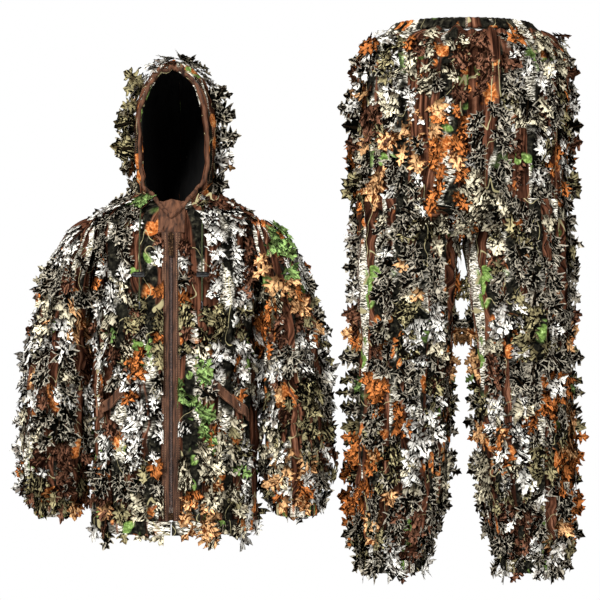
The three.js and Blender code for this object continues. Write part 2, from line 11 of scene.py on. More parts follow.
import bmesh
import bpy
import numpy as np
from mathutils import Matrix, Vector


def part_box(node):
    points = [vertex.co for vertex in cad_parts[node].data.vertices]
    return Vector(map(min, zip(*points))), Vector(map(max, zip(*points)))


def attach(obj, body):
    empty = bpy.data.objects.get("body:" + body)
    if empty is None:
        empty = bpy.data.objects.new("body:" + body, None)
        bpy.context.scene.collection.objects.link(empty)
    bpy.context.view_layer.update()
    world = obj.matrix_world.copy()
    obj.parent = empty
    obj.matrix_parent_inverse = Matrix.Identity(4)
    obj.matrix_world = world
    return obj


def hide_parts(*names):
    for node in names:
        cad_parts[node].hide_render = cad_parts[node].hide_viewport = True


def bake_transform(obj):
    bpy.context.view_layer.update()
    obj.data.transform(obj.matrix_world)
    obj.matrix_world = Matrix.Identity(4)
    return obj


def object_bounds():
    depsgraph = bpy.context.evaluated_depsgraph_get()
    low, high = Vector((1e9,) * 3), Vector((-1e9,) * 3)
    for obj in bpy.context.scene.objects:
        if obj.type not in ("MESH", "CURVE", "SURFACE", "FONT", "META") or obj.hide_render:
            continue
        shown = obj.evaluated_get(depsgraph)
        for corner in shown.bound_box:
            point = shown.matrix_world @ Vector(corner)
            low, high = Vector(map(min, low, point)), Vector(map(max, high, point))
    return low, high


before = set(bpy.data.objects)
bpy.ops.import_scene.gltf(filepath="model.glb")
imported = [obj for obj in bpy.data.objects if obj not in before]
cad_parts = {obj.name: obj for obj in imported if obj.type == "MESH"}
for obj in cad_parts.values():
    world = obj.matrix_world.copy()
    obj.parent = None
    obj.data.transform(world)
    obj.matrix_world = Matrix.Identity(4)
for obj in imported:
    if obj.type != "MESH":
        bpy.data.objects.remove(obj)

LOG = logging.getLogger("suit")
CAD_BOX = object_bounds()
SIDES = {"left": 1.0, "right": -1.0}
ROUNDNESS = 0.9  # below 1 an oval turns a little square
CLOTH_THICK = 0.0016
ARMHOLE_Z, ARMHOLE_RADIUS = -0.112, 0.030  # the round opening from trunk to sleeve, seen from the side
STRIPS = 14  # strips of leaves round a garment
TIP_SPARE = (0.038, 0.016, 0.038)  # how far leaf tips may stand out of the frame's box, along X, Y and Z
SINK = 0.007  # base cloth below the frame's outer surface: the leaves fill what is between
FRONT, SIDE, BACK = 0.0, math.pi / 2, math.pi
FORM_ROWS = 500  # heights in a garment shape's table
CUT_SHARES = (0.42, 0.36, 0.22)  # how common the three cuts of leaf are
JAG = 0.018  # how uneven a leaf's cut edge is, as a share of its length
PRINT_SHIFT = 0.37  # how far apart two leaves are on the printed cloth that they are cut from

Rgb = tuple[float, float, float]
Array = np.ndarray
Socket = bpy.types.NodeSocket
Edge = Callable[[Array], Array]


# ------------------------------------------------------------------ colours
def rgb(code: str) -> Rgb:
    """A linear colour from a web colour code.

    Args:
        code: six hexadecimal digits.

    Returns:
        The colour as three linear values.
    """
    parts = [int(code[i : i + 2], 16) / 255 for i in (0, 2, 4)]
    return tuple(p / 12.92 if p <= 0.04045 else ((p + 0.055) / 1.055) ** 2.4 for p in parts)


# ------------------------------------------------------------------ shader wiring
class Web:
    """One material's node tree, with short calls for the nodes that the finishes share."""

    def __init__(self, name: str) -> None:
        """Starts an empty tree with its shader and output.

        Args:
            name: the material's name.
        """
        self.material = bpy.data.materials.new(name)
        self.material.use_nodes = True
        self.tree = self.material.node_tree
        self.tree.nodes.clear()
        self.shader = self.tree.nodes.new("ShaderNodeBsdfPrincipled")
        output = self.tree.nodes.new("ShaderNodeOutputMaterial")
        self.join(self.shader.outputs["BSDF"], output.inputs["Surface"])

    def join(self, source: Socket, target: Socket) -> None:
        """Links one socket to another."""
        self.tree.links.new(source, target)

    def feed(self, target: Socket, value: object) -> None:
        """Gives a socket its value.

        Args:
            target: the socket.
            value: another socket to link, or a plain value to set.
        """
        if isinstance(value, Socket):
            self.join(value, target)
        elif isinstance(value, tuple) and len(value) == 3 and target.type == "RGBA":
            target.default_value = (*value, 1.0)
        else:
            target.default_value = value

    def node(self, kind: str, inputs: dict[str | int, object], **settings: object) -> bpy.types.Node:
        """Adds one node.

        Args:
            kind: the node's type.
            inputs: the value of each input that is used.
            settings: its other settings.

        Returns:
            The node.
        """
        made = self.tree.nodes.new(kind)
        for key, value in settings.items():
            setattr(made, key, value)
        for key, value in inputs.items():
            self.feed(made.inputs[key], value)
        return made

    def attribute(self, name: str, output: str = "Vector") -> Socket:
        """A value stored on the mesh."""
        return self.node("ShaderNodeAttribute", {}, attribute_name=name).outputs[output]

    def place(self) -> Socket:
        """The object's own coordinates, which are metres."""
        return self.node("ShaderNodeTexCoord", {}).outputs["Object"]

    def scaled(self, vector: Socket, scale: Sequence[float], shift: Sequence[float] = (0, 0, 0)) -> Socket:
        """A vector scaled and shifted."""
        inputs = {"Vector": vector, "Scale": scale, "Location": shift}
        return self.node("ShaderNodeMapping", inputs).outputs["Vector"]

    def noise(self, vector: Socket, scale: float, detail: float = 2.0, warp: float = 0.0) -> Socket:
        """A soft noise from 0 to 1."""
        inputs = {"Vector": vector, "Scale": scale, "Detail": detail, "Distortion": warp}
        return self.node("ShaderNodeTexNoise", inputs).outputs["Fac"]

    def cells(self, vector: Socket, scale: float) -> Socket:
        """Voronoi cells: the distance to a cell's middle."""
        return self.node("ShaderNodeTexVoronoi", {"Vector": vector, "Scale": scale}).outputs["Distance"]

    def ramp(self, factor: Socket, stops: Sequence[tuple[float, Rgb]]) -> Socket:
        """A colour looked up between stops.

        Args:
            factor: where to look, from 0 to 1.
            stops: (place, colour) pairs.

        Returns:
            The colour.
        """
        node = self.node("ShaderNodeValToRGB", {"Fac": factor})
        elements = node.color_ramp.elements
        while len(elements) < len(stops):
            elements.new(1.0)
        for element, (place, colour) in zip(elements, stops):
            element.position = place
            element.color = (*colour, 1.0)
        return node.outputs["Color"]

    def step(self, factor: Socket, low: float, high: float) -> Socket:
        """A mask that rises from 0 at low to 1 at high, or falls where low is above high.

        Args:
            factor: the value to test.
            low: where the mask is 0.
            high: where the mask is 1.

        Returns:
            The mask.
        """
        first, last = (0.0, 1.0) if low < high else (1.0, 0.0)
        inputs = {"Value": factor, "From Min": min(low, high), "From Max": max(low, high)}
        inputs |= {"To Min": first, "To Max": last}
        return self.node("ShaderNodeMapRange", inputs, interpolation_type="SMOOTHSTEP").outputs["Result"]

    def maths(self, operation: str, *values: object) -> Socket:
        """One sum of one, two or three values."""
        return self.node("ShaderNodeMath", dict(enumerate(values)), operation=operation).outputs[0]

    def mix(self, factor: object, under: object, over: object, kind: str = "MIX") -> Socket:
        """One colour laid on another."""
        inputs = {0: factor, 6: under, 7: over}
        return self.node("ShaderNodeMix", inputs, data_type="RGBA", blend_type=kind).outputs[2]

    def bump(self, height: Socket, depth: float, strength: float = 1.0) -> None:
        """Raises the surface by a height, in metres."""
        inputs = {"Strength": strength, "Distance": depth, "Height": height}
        self.join(self.node("ShaderNodeBump", inputs).outputs["Normal"], self.shader.inputs["Normal"])

    def twigs(self, vector: Socket, thin: float, thick: float) -> Socket:
        """A mask of fine twigs that wander over the print.

        Args:
            vector: the print's coordinates.
            thin: half the width of a twig's solid middle, as a share of the noise.
            thick: half the width where it has faded out.

        Returns:
            The mask, 1 on a twig.
        """
        wander = self.noise(self.scaled(vector, (14, 8, 0)), 1.0, 1, 0.6)
        off_twig = self.maths("ABSOLUTE", self.maths("SUBTRACT", wander, 0.5))
        return self.step(off_twig, thick, thin)

    def weave(self, vector: Socket, pitch: float) -> Socket:
        """A plain weave's height.

        Args:
            vector: coordinates on the cloth, in metres.
            pitch: the distance between threads, in metres.

        Returns:
            The height, from 0 to 1.
        """
        turn = 2 * math.pi / pitch
        split = self.node("ShaderNodeSeparateXYZ", {0: self.scaled(vector, (turn, turn, turn))})
        first = self.maths("SINE", split.outputs[0])
        second = self.maths("SINE", split.outputs[1])
        return self.maths("MULTIPLY_ADD", self.maths("MULTIPLY", first, second), 0.5, 0.5)


@dataclass(frozen=True)
class Print:
    """Camouflage print on thin knit: bark, trunks, dry and green leaves, twigs and shade.

    Attributes:
        name: the material's name.
        bark: how much pale bark shows, around 0.5.
        trunk: how much brown trunk shows, around 0.5.
    """

    name: str
    bark: float = 0.5
    trunk: float = 0.5

    def build(self) -> bpy.types.Material:
        """Makes the material from coordinates stored on the cloth.

        Returns:
            The material.
        """
        web = Web(self.name)
        at = web.attribute("print")
        grain = web.noise(web.scaled(at, (150, 9, 1)), 1.0, 4, 0.3)
        browns = [(0.34, rgb("0e0705")), (0.47, rgb("321d14")), (0.59, rgb("5c3a2a")), (0.76, rgb("8e6650"))]
        wood = web.ramp(grain, browns)
        streak = web.noise(web.scaled(at, (75, 270, 1)), 1.0, 5, 1.9)
        greys = [(0.40, rgb("0c0b09")), (0.47, rgb("4c473c")), (0.53, rgb("bcb5a3")), (0.62, rgb("f0ebde"))]
        bark = web.ramp(streak, greys)
        darks = [(0.38, rgb("070706")), (0.58, rgb("1c1b16")), (0.75, rgb("454133"))]
        shade = web.ramp(web.noise(at, 120, 4, 0.5), darks)
        patches = web.noise(web.scaled(at, (13, 6, 1), (3, 1, 0)), 1.0, 3, 0.4)
        bark_mask = web.step(patches, 1.02 - self.bark, 1.07 - self.bark)
        cloth = web.mix(bark_mask, shade, bark)
        wander = web.noise(web.scaled(at, (17, 1.6, 1), (7, 2, 0)), 1.0, 2, 0.2)
        trunk = web.maths("ADD", wander, web.maths("MULTIPLY", web.attribute("gap", "Fac"), 0.16))
        trunk_mask = web.step(trunk, 1.02 - self.trunk, 1.05 - self.trunk)
        cloth = web.mix(trunk_mask, cloth, wood)
        for shift, low, colours in (
            ((2, 9, 0), 0.60, [(0.3, rgb("3f1c0b")), (0.5, rgb("9c5526")), (0.72, rgb("d59f66"))]),
            ((11, 4, 0), 0.66, [(0.3, rgb("2c3a1b")), (0.55, rgb("66803f")), (0.75, rgb("a3b878"))]),
        ):
            area = web.noise(web.scaled(at, (9, 9, 1), shift), 1.0, 1)
            edge = web.cells(web.scaled(at, (34, 30, 1), shift), 1.0)
            leaf = web.maths("MULTIPLY", web.step(area, low - 0.05, low), web.step(edge, 0.52, 0.46))
            cloth = web.mix(leaf, cloth, web.ramp(web.noise(at, 160, 3, 0.8), colours))
        cloth = web.mix(web.twigs(at, 0.003, 0.006), cloth, rgb("8f8664"))
        web.join(cloth, web.shader.inputs["Base Color"])
        web.shader.inputs["Roughness"].default_value = 0.92
        web.shader.inputs["Specular IOR Level"].default_value = 0.0
        web.bump(web.weave(at, 0.0011), 0.0003, 0.5)
        return web.material


@dataclass(frozen=True)
class LeafCloth:
    """Thin cut leaf: its own printed colour with flecks, veins, painted shade towards the stalk end and an
    edge in its fleck colour.

    Attributes:
        name: the material's name.
    """

    name: str

    def build(self) -> bpy.types.Material:
        """Makes the material from the colours and places stored on each leaf.

        Returns:
            The material.
        """
        web = Web(self.name)
        at = web.attribute("print")
        tint = web.attribute("tint", "Color")
        fleck = web.attribute("fleck", "Color")
        share = web.attribute("share", "Fac")
        rim = web.attribute("rim", "Fac")
        vein = web.attribute("vein", "Fac")
        streak = web.noise(web.scaled(at, (210, 70, 1)), 1.0, 5, 1.3)
        mask = web.step(web.maths("ADD", streak, web.maths("SUBTRACT", share, 0.5)), 0.48, 0.51)
        colour = web.mix(mask, tint, fleck)
        mottle = web.ramp(web.noise(at, 75, 3, 0.8), [(0.36, (0.14, 0.11, 0.09)), (0.56, (1.0, 1.0, 1.0))])
        colour = web.mix(0.9, colour, mottle, "MULTIPLY")
        # painted shade: each leaf darkens towards its stalk, as if shaded by the leaf lying over it
        shade = web.ramp(web.attribute("along", "Fac"), [(0.08, (0.12, 0.11, 0.10)), (0.50, (1.0, 1.0, 1.0))])
        colour = web.mix(1.0, colour, shade, "MULTIPLY")
        colour = web.mix(web.twigs(at, 0.002, 0.005), colour, rgb("9a9070"))
        colour = web.mix(web.maths("MULTIPLY", web.step(vein, 0.88, 0.98), 0.6), colour, rgb("1c140c"))
        # the outer edge of each leaf takes its fleck colour
        colour = web.mix(web.maths("MULTIPLY", web.step(rim, 0.76, 0.95), 0.7), colour, fleck)
        web.join(colour, web.shader.inputs["Base Color"])
        web.shader.inputs["Roughness"].default_value = 0.88
        web.shader.inputs["Specular IOR Level"].default_value = 0.0
        web.bump(web.maths("ADD", web.weave(at, 0.0012), web.maths("MULTIPLY", vein, 1.5)), 0.0003, 0.6)
        return web.material


@dataclass(frozen=True)
class PlainCloth:
    """Plain dyed cloth or tape with a fine weave and worn lighter threads.

    Attributes:
        name: the material's name.
        dark: the colour in the weave's hollows.
        light: the colour of rubbed threads.
        pitch: the distance between threads, in metres.
        gloss: the roughness of the yarn.
        stretch: how fine the worn patches are along X, Y and Z.
    """

    name: str
    dark: str
    light: str
    pitch: float = 0.0012
    gloss: float = 0.85
    stretch: tuple[float, float, float] = (60, 60, 12)

    def build(self) -> bpy.types.Material:
        """Makes the material in the object's own coordinates.

        Returns:
            The material.
        """
        web = Web(self.name)
        at = web.place()
        worn = web.noise(web.scaled(at, self.stretch), 1.0, 4, 0.4)
        fibre = web.noise(at, 900, 2)
        base = web.ramp(worn, [(0.32, rgb(self.dark)), (0.70, rgb(self.light))])
        speckle = web.ramp(fibre, [(0.3, (0.4, 0.4, 0.4)), (0.7, (1.0, 1.0, 1.0))])
        colour = web.mix(0.35, base, speckle, "MULTIPLY")
        web.join(colour, web.shader.inputs["Base Color"])
        web.shader.inputs["Roughness"].default_value = self.gloss
        web.shader.inputs["Specular IOR Level"].default_value = 0.15
        web.bump(web.weave(web.scaled(at, (1, 0.3, 1)), self.pitch), 0.0003, 0.6)
        return web.material


@dataclass(frozen=True)
class Hard:
    """Moulded plastic or enamelled metal with handling wear.

    Attributes:
        name: the material's name.
        dark: the main colour.
        light: the rubbed colour.
        metal: 1 for bare metal.
        gloss: the roughness.
    """

    name: str
    dark: str
    light: str
    metal: float = 0.0
    gloss: float = 0.25

    def build(self) -> bpy.types.Material:
        """Makes the material in the object's own coordinates.

        Returns:
            The material.
        """
        web = Web(self.name)
        at = web.place()
        worn = web.noise(at, 420, 5, 0.3)
        colour = web.ramp(worn, [(0.5, rgb(self.dark)), (0.78, rgb(self.light))])
        web.join(colour, web.shader.inputs["Base Color"])
        rough = web.step(web.noise(at, 260, 3), 0.2, 0.9)
        web.join(web.maths("MULTIPLY_ADD", rough, 0.25, self.gloss), web.shader.inputs["Roughness"])
        web.shader.inputs["Metallic"].default_value = self.metal
        web.bump(worn, 0.00008, 0.4)
        return web.material


class Finish(Enum):
    """Every finish on the suit."""

    JACKET_PRINT = Print("jacket_print", 0.52, 0.56)
    TROUSER_PRINT = Print("trouser_print", 0.49, 0.53)
    LEAF = LeafCloth("cut_leaf")
    BROWN = PlainCloth("bark_brown_cloth", "150b07", "66432f", 0.0011, 0.8, (120, 120, 18))
    LINING = PlainCloth("black_lining", "020202", "0b0a09", 0.0018, 0.95)
    ELASTIC = PlainCloth("ribbed_elastic", "8d877a", "e6e1d4", 0.0020, 0.8)
    TAPE = PlainCloth("zip_tape", "22150f", "563a2a", 0.0008, 0.75, (300, 300, 40))
    THREAD = PlainCloth("stitching", "4a3020", "b98e6c", 0.0006, 0.6)
    CORD = PlainCloth("braided_cord", "14170c", "3d4426", 0.0009, 0.6, (500, 500, 500))
    PLASTIC = Hard("black_moulding", "050505", "161616", 0.0, 0.12)
    TEETH = Hard("brown_enamel", "241610", "6a4836", 0.35, 0.32)
    BRASS = Hard("dark_brass", "2e2119", "8b6a4a", 1.0, 0.30)
    STEEL = Hard("spring_wire", "8f8f8f", "d2d2d2", 1.0, 0.18)

    def material(self) -> bpy.types.Material:
        """The finish's material, made the first time it is asked for."""
        made = bpy.data.materials.get(self.value.name)
        return made if made else self.value.build()


# ------------------------------------------------------------------ mesh helpers
def ripple(points: Array, length: float, seed: int, waves: int = 7) -> Array:
    """A soft random wave over points.

    Args:
        points: places, one row each, in metres.
        length: the typical length of a wave, in metres.
        seed: chooses the waves.
        waves: how many are added up.

    Returns:
        One value for each point, mostly from -1 to 1.
    """
    draw = np.random.default_rng(seed)
    heading = draw.normal(size=(waves, points.shape[-1]))
    heading /= np.linalg.norm(heading, axis=1)[:, None]
    pace = 2 * math.pi / (length * draw.uniform(0.7, 1.5, waves))
    phase = draw.uniform(0, 2 * math.pi, waves)
    return np.sin(points @ (heading * pace[:, None]).T + phase).sum(axis=-1) / math.sqrt(waves)


def mesh_object(
    name: str, points: Array, faces: Sequence[Sequence[int]], *finishes: Finish
) -> bpy.types.Object:
    """A mesh object with its finishes.

    Args:
        name: the piece's name.
        points: its vertices, in metres.
        faces: its faces, as vertex numbers.
        finishes: its materials, in slot order.

    Returns:
        The object, linked to the scene and smooth shaded.
    """
    mesh = bpy.data.meshes.new(name)
    mesh.from_pydata(np.asarray(points, float).tolist(), [], [list(map(int, f)) for f in faces])
    mesh.validate()
    mesh.polygons.foreach_set("use_smooth", [True] * len(mesh.polygons))
    for finish in finishes:
        mesh.materials.append(finish.material())
    made = bpy.data.objects.new(name, mesh)
    bpy.context.scene.collection.objects.link(made)
    return made


def store(made: bpy.types.Object, name: str, kind: str, values: Array) -> None:
    """Keeps one value per vertex on a mesh, for its material.

    Args:
        made: the mesh's object.
        name: the attribute's name.
        kind: its type.
        values: the values, vertex by vertex.
    """
    attribute = made.data.attributes.new(name, kind, "POINT")
    key = {"FLOAT": "value", "FLOAT_VECTOR": "vector", "FLOAT_COLOR": "color"}[kind]
    attribute.data.foreach_set(key, np.ascontiguousarray(values, np.float32).ravel())


def modify(made: bpy.types.Object, kind: str, **settings: object) -> None:
    """Adds a modifier to an object.

    Args:
        made: the object.
        kind: the modifier's type.
        settings: its settings.
    """
    modifier = made.modifiers.new(kind.lower(), kind)
    for key, value in settings.items():
        setattr(modifier, key, value)


def settle(made: bpy.types.Object) -> bpy.types.Object:
    """Applies an object's modifiers, so that its mesh is final.

    Args:
        made: the object.

    Returns:
        The same object.
    """
    graph = bpy.context.evaluated_depsgraph_get()
    mesh = bpy.data.meshes.new_from_object(made.evaluated_get(graph), depsgraph=graph)
    made.modifiers.clear()
    made.data = mesh
    return made


def grid_faces(rows: int, columns: int, closed: bool = False, start: int = 0) -> list[tuple[int, ...]]:
    """The four-sided faces of a grid whose points run row by row.

    Args:
        rows: how many rows of points there are.
        columns: how many points are in a row.
        closed: True where each row is a ring.
        start: the number of the first point.

    Returns:
        The faces.
    """
    across = columns if closed else columns - 1
    faces = []
    for row in range(rows - 1):
        for column in range(across):
            here = start + row * columns + column
            beside = start + row * columns + (column + 1) % columns
            faces.append((here, beside, beside + columns, here + columns))
    return faces


def tube(
    name: str, path: Array, radius: Callable[[Array], Array], sides: int, finish: Finish
) -> bpy.types.Object:
    """A round tube along a path of close points.

    Args:
        name: the piece's name.
        path: the middle line, in metres.
        radius: gives the radius from the share of the way along.
        sides: how many sides the tube has.
        finish: its material.

    Returns:
        The tube, closed at both ends.
    """
    path = np.asarray(path, float)
    along = np.gradient(path, axis=0)
    along /= np.linalg.norm(along, axis=1)[:, None]
    side = np.cross(along, (0.0, 1.0, 0.05))
    side /= np.linalg.norm(side, axis=1)[:, None]
    up = np.cross(side, along)
    turn = np.linspace(0, 2 * math.pi, sides, endpoint=False)
    reach = radius(np.linspace(0, 1, len(path)))[:, None, None]
    rings = path[:, None] + reach * (
        np.cos(turn)[None, :, None] * side[:, None] + np.sin(turn)[None, :, None] * up[:, None]
    )
    faces = grid_faces(len(path), sides, closed=True)
    last = (len(path) - 1) * sides
    faces += [tuple(range(sides - 1, -1, -1)), tuple(range(last, last + sides))]
    return mesh_object(name, rings.reshape(-1, 3), faces, finish)


def spline(points: Sequence[Sequence[float]], count: int) -> Array:
    """A smooth line through points (Catmull-Rom).

    Args:
        points: the points to pass through.
        count: how many points the line has.

    Returns:
        The line's points.
    """
    knots = np.asarray(points, float)
    knots = np.vstack([2 * knots[0] - knots[1], knots, 2 * knots[-1] - knots[-2]])
    share = np.linspace(0, len(knots) - 3, count)
    first = np.minimum(share.astype(int), len(knots) - 4)
    t = (share - first)[:, None]
    a, b, c, d = (knots[first + i] for i in range(4))
    return 0.5 * (2 * b + (c - a) * t + (2 * a - 5 * b + 4 * c - d) * t**2 + (3 * b - a - 3 * c + d) * t**3)


def spun(
    name: str, outline: Sequence[tuple[float, float]], centre: Vector, finish: Finish, sides: int = 32
) -> bpy.types.Object:
    """A turned shape that stands upright.

    Args:
        name: the piece's name.
        outline: (radius, height) pairs, from the top down.
        centre: where its middle is, in metres.
        finish: its material.
        sides: how many sides it has.

    Returns:
        The shape, closed at both ends.
    """
    turn = np.linspace(0, 2 * math.pi, sides, endpoint=False)
    rings = [np.stack([r * np.cos(turn), r * np.sin(turn), np.full(sides, h)], axis=1) for r, h in outline]
    faces = grid_faces(len(outline), sides, closed=True)
    last = (len(outline) - 1) * sides
    faces += [tuple(range(sides - 1, -1, -1)), tuple(range(last, last + sides))]
    return mesh_object(name, np.concatenate(rings) + np.array(centre), faces, finish)


# ------------------------------------------------------------------ filled garment shapes
@dataclass(frozen=True)
class Ring:
    """One level oval of a filled garment, in metres.

    Attributes:
        z: its height.
        half_width: half its width.
        half_depth: half its depth.
        x: how far across its middle is.
    """

    z: float
    half_width: float
    half_depth: float
    x: float = 0.0


@dataclass
class Form:
    """A filled garment tube: level ovals joined smoothly, with folds.

    Attributes:
        rings: the ovals, from the top down.
        fold: how far the folds stand out, in metres.
        seed: chooses the folds.
        gathers: heights where the cloth is drawn together, each with its depth.
        blur: how far along Z the ovals are smoothed, in metres.
        proud_top: how much higher the cloth lies near the top, in metres.
    """

    rings: list[Ring]
    fold: float = 0.004
    seed: int = 1
    gathers: list[tuple[float, float]] = field(default_factory=list)
    blur: float = 0.016
    proud_top: float = 0.0

    def __post_init__(self) -> None:
        """Smooths the ovals into a table of heights."""
        rings = sorted(self.rings, key=lambda ring: ring.z)
        heights = [ring.z for ring in rings]
        self.low, self.high = heights[0], heights[-1]
        self.table = np.linspace(self.low, self.high, FORM_ROWS)
        step = (self.high - self.low) / (FORM_ROWS - 1)
        reach = max(1, int(self.blur / step))
        kernel = np.hanning(2 * reach + 3)[1:-1]
        kernel /= kernel.sum()
        self.columns = []
        for key in ("x", "half_width", "half_depth"):
            values = np.interp(self.table, heights, [getattr(ring, key) for ring in rings])
            lead = 2 * values[0] - values[reach:0:-1]
            tail = 2 * values[-1] - values[-2 : -reach - 2 : -1]
            self.columns.append(np.convolve(np.concatenate([lead, values, tail]), kernel, "valid"))

    def oval(self, z: Array) -> tuple[Array, Array, Array]:
        """The middle, half width and half depth at some heights."""
        x, half_width, half_depth = (np.interp(z, self.table, column) for column in self.columns)
        return x, half_width, half_depth

    def base(self, angle: Array, z: Array) -> Array:
        """Points of the smooth shape.

        Args:
            angle: the angle of each from the front.
            z: its height.

        Returns:
            The points.
        """
        x, half_width, half_depth = self.oval(z)
        sine, cosine = np.sin(angle), np.cos(angle)
        across = x + np.sign(sine) * np.abs(sine) ** ROUNDNESS * half_width
        deep = -np.sign(cosine) * np.abs(cosine) ** ROUNDNESS * half_depth
        return np.stack([across, deep, z], axis=-1)

    def angle_of(self, x: float | Array, z: Array) -> Array:
        """The angle from the front of a point that lies x across from the middle."""
        share = np.clip(np.asarray(x) / self.oval(z)[1], -1.0, 1.0)
        return np.arcsin(np.sign(share) * np.abs(share) ** (1 / ROUNDNESS))

    def even_heights(self, low: float, high: float, share: Array) -> Array:
        """Heights spread along the cloth, so that slopes get their part.

        Args:
            low: the lowest height.
            high: the highest height.
            share: shares of the way along the cloth from low to high.

        Returns:
            The height at each share.
        """
        columns = np.array(self.columns)
        rise = np.diff(self.table)
        spread = np.abs(np.diff(columns[1:], axis=1)).max(axis=0)
        arc = np.concatenate([[0.0], np.cumsum(np.hypot(rise, spread))])
        ends = np.interp([low, high], self.table, arc)
        return np.interp(ends[0] + share * (ends[1] - ends[0]), arc, self.table)

    def slant(self, low: float, high: float) -> float:
        """The distance along the cloth between two heights.

        Args:
            low: the lower height.
            high: the upper height.

        Returns:
            The distance, in metres.
        """
        columns = np.array(self.columns)
        inside = (self.table >= low) & (self.table <= high)
        rise = np.diff(self.table[inside])
        spread = np.abs(np.diff(columns[1:, inside], axis=1)).max(axis=0)
        return float(np.hypot(rise, spread).sum())

    def frame_at(self, angle: Array, z: Array) -> tuple[Array, Array, Array]:
        """Directions on the smooth shape.

        Args:
            angle: the angle of each place from the front.
            z: its height.

        Returns:
            Unit vectors across, up along and out of the shape.
        """
        turn, rise = 0.03, 0.004
        across = self.base(angle + turn, z) - self.base(angle - turn, z)
        up = self.base(angle, z + rise) - self.base(angle, z - rise)
        across /= np.linalg.norm(across, axis=-1)[..., None]
        up /= np.linalg.norm(up, axis=-1)[..., None]
        out = np.cross(across, up)
        out /= np.linalg.norm(out, axis=-1)[..., None]
        return across, up, out

    def folds(self, angle: Array, z: Array) -> Array:
        """How far the folds lift the cloth.

        Args:
            angle: the angle of each place from the front.
            z: its height.

        Returns:
            The lift at each place, in metres.
        """
        flat = np.stack([np.sin(angle) * 0.35, np.cos(angle) * 0.35, z * 0.28], axis=-1)
        high = ripple(flat, 0.075, self.seed) + 0.45 * ripple(flat * (1, 1, 2.4), 0.034, self.seed + 1)
        lift = self.fold * high
        for height, depth in self.gathers:
            near = np.exp(-(((z - height) / 0.028) ** 2))
            count = 34 + self.seed % 5
            main = np.sin(angle * count + 1.4 * np.sin(angle * 5 + self.seed))
            lift = lift + depth * near * (main + 0.5 * np.sin(angle * (count + 13)))
        return lift

    def place(self, angle: Array, z: Array, out: float | Array = 0.0) -> Array:
        """Points on the folded cloth.

        Args:
            angle: the angle of each place from the front.
            z: its height.
            out: how far it is lifted off the cloth, in metres.

        Returns:
            The points.
        """
        outward = self.frame_at(angle, z)[2]
        near_top = np.clip((z - self.high) / 0.06 + 1, 0, 1)
        lift = np.asarray(self.folds(angle, z) + out - SINK + self.proud_top * near_top)
        return self.base(angle, z) + outward * lift[..., None]

    def girth(self, z: float) -> float:
        """The distance round the shape at a height."""
        line = self.base(np.linspace(-math.pi, math.pi, 181), np.full(181, z))
        return float(np.linalg.norm(np.diff(line, axis=0), axis=1).sum())


def level(value: float) -> Edge:
    """An edge that runs straight up at one angle."""
    return lambda z: np.full(np.shape(z), float(value))


ALL_ROUND = (level(-math.pi), level(math.pi))  # both edges of leaves that go all the way round


@dataclass
class Panel:
    """One cut panel of a garment, between two edges and two heights.

    Attributes:
        name: the piece's name.
        form: the shape it lies on.
        start: the angle where it starts, at each height.
        stop: the angle where it stops, at each height.
        low: its lowest height.
        high: its highest height.
        body: not used.
        node: the frame node that it stands for.
        finish: the outer finish.
        keep: says which places belong to the panel, or None for all.
        step: the distance between points, in metres.
        out: how far it lies off the form's cloth, in metres.
        strips: how many strips of leaves the print leaves room for round the form.
    """

    name: str
    form: Form
    start: Edge
    stop: Edge
    low: float
    high: float
    body: str
    node: str
    finish: Finish
    keep: Callable[[Array], Array] | None = None
    step: float = 0.006
    out: float = 0.0
    strips: int = STRIPS

    def build(self) -> bpy.types.Object:
        """Returns:
            The panel's object.
        """
        length = self.form.slant(self.low, self.high)
        rows = max(3, int(length / self.step) + 1)
        z = self.form.even_heights(self.low, self.high, np.linspace(1, 0, rows))
        middle = (self.high + self.low) / 2
        ends = [float(edge(np.array([middle]))[0]) for edge in (self.start, self.stop)]
        width = self.form.girth(middle) * (ends[1] - ends[0]) / (2 * math.pi)
        columns = max(4, int(width / self.step) + 1)
        across = np.linspace(0, 1, columns)
        angle = self.start(z)[:, None] * (1 - across) + self.stop(z)[:, None] * across
        height = np.repeat(z[:, None], columns, axis=1)
        points = self.form.place(angle, height, self.out)
        steps = np.linalg.norm(np.diff(points, axis=1), axis=2)
        arc = np.concatenate([np.zeros((rows, 1)), np.cumsum(steps, axis=1)], axis=1)
        flat = np.stack([arc + self.form.seed, height, np.zeros_like(arc)], axis=-1).reshape(-1, 3)
        points = points.reshape(-1, 3)
        faces = [face[::-1] for face in grid_faces(rows, columns)]
        if self.keep is not None:
            kept = self.keep(points)
            faces = [face for face in faces if all(kept[i] for i in face)]
        made = mesh_object(self.name, points, faces, self.finish, Finish.LINING)
        store(made, "print", "FLOAT_VECTOR", flat)
        store(made, "gap", "FLOAT", np.cos(angle * self.strips).ravel() * (-1) ** self.strips)
        used = np.unique(np.array(faces))
        if len(used) < len(points):
            remove_loose(made)
        modify(made, "SOLIDIFY", thickness=CLOTH_THICK, offset=-1.0, material_offset=1)
        settle(made)
        self.declare()
        return made

    def declare(self) -> None:
        """Hides the frame node that the panel stands for.
        """
        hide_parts(self.node)


def remove_loose(made: bpy.types.Object) -> None:
    """Deletes the vertices that no face uses.

    Args:
        made: the mesh's object.
    """
    work = bmesh.new()
    work.from_mesh(made.data)
    bmesh.ops.delete(work, geom=[v for v in work.verts if not v.link_faces], context="VERTS")
    work.to_mesh(made.data)
    work.free()


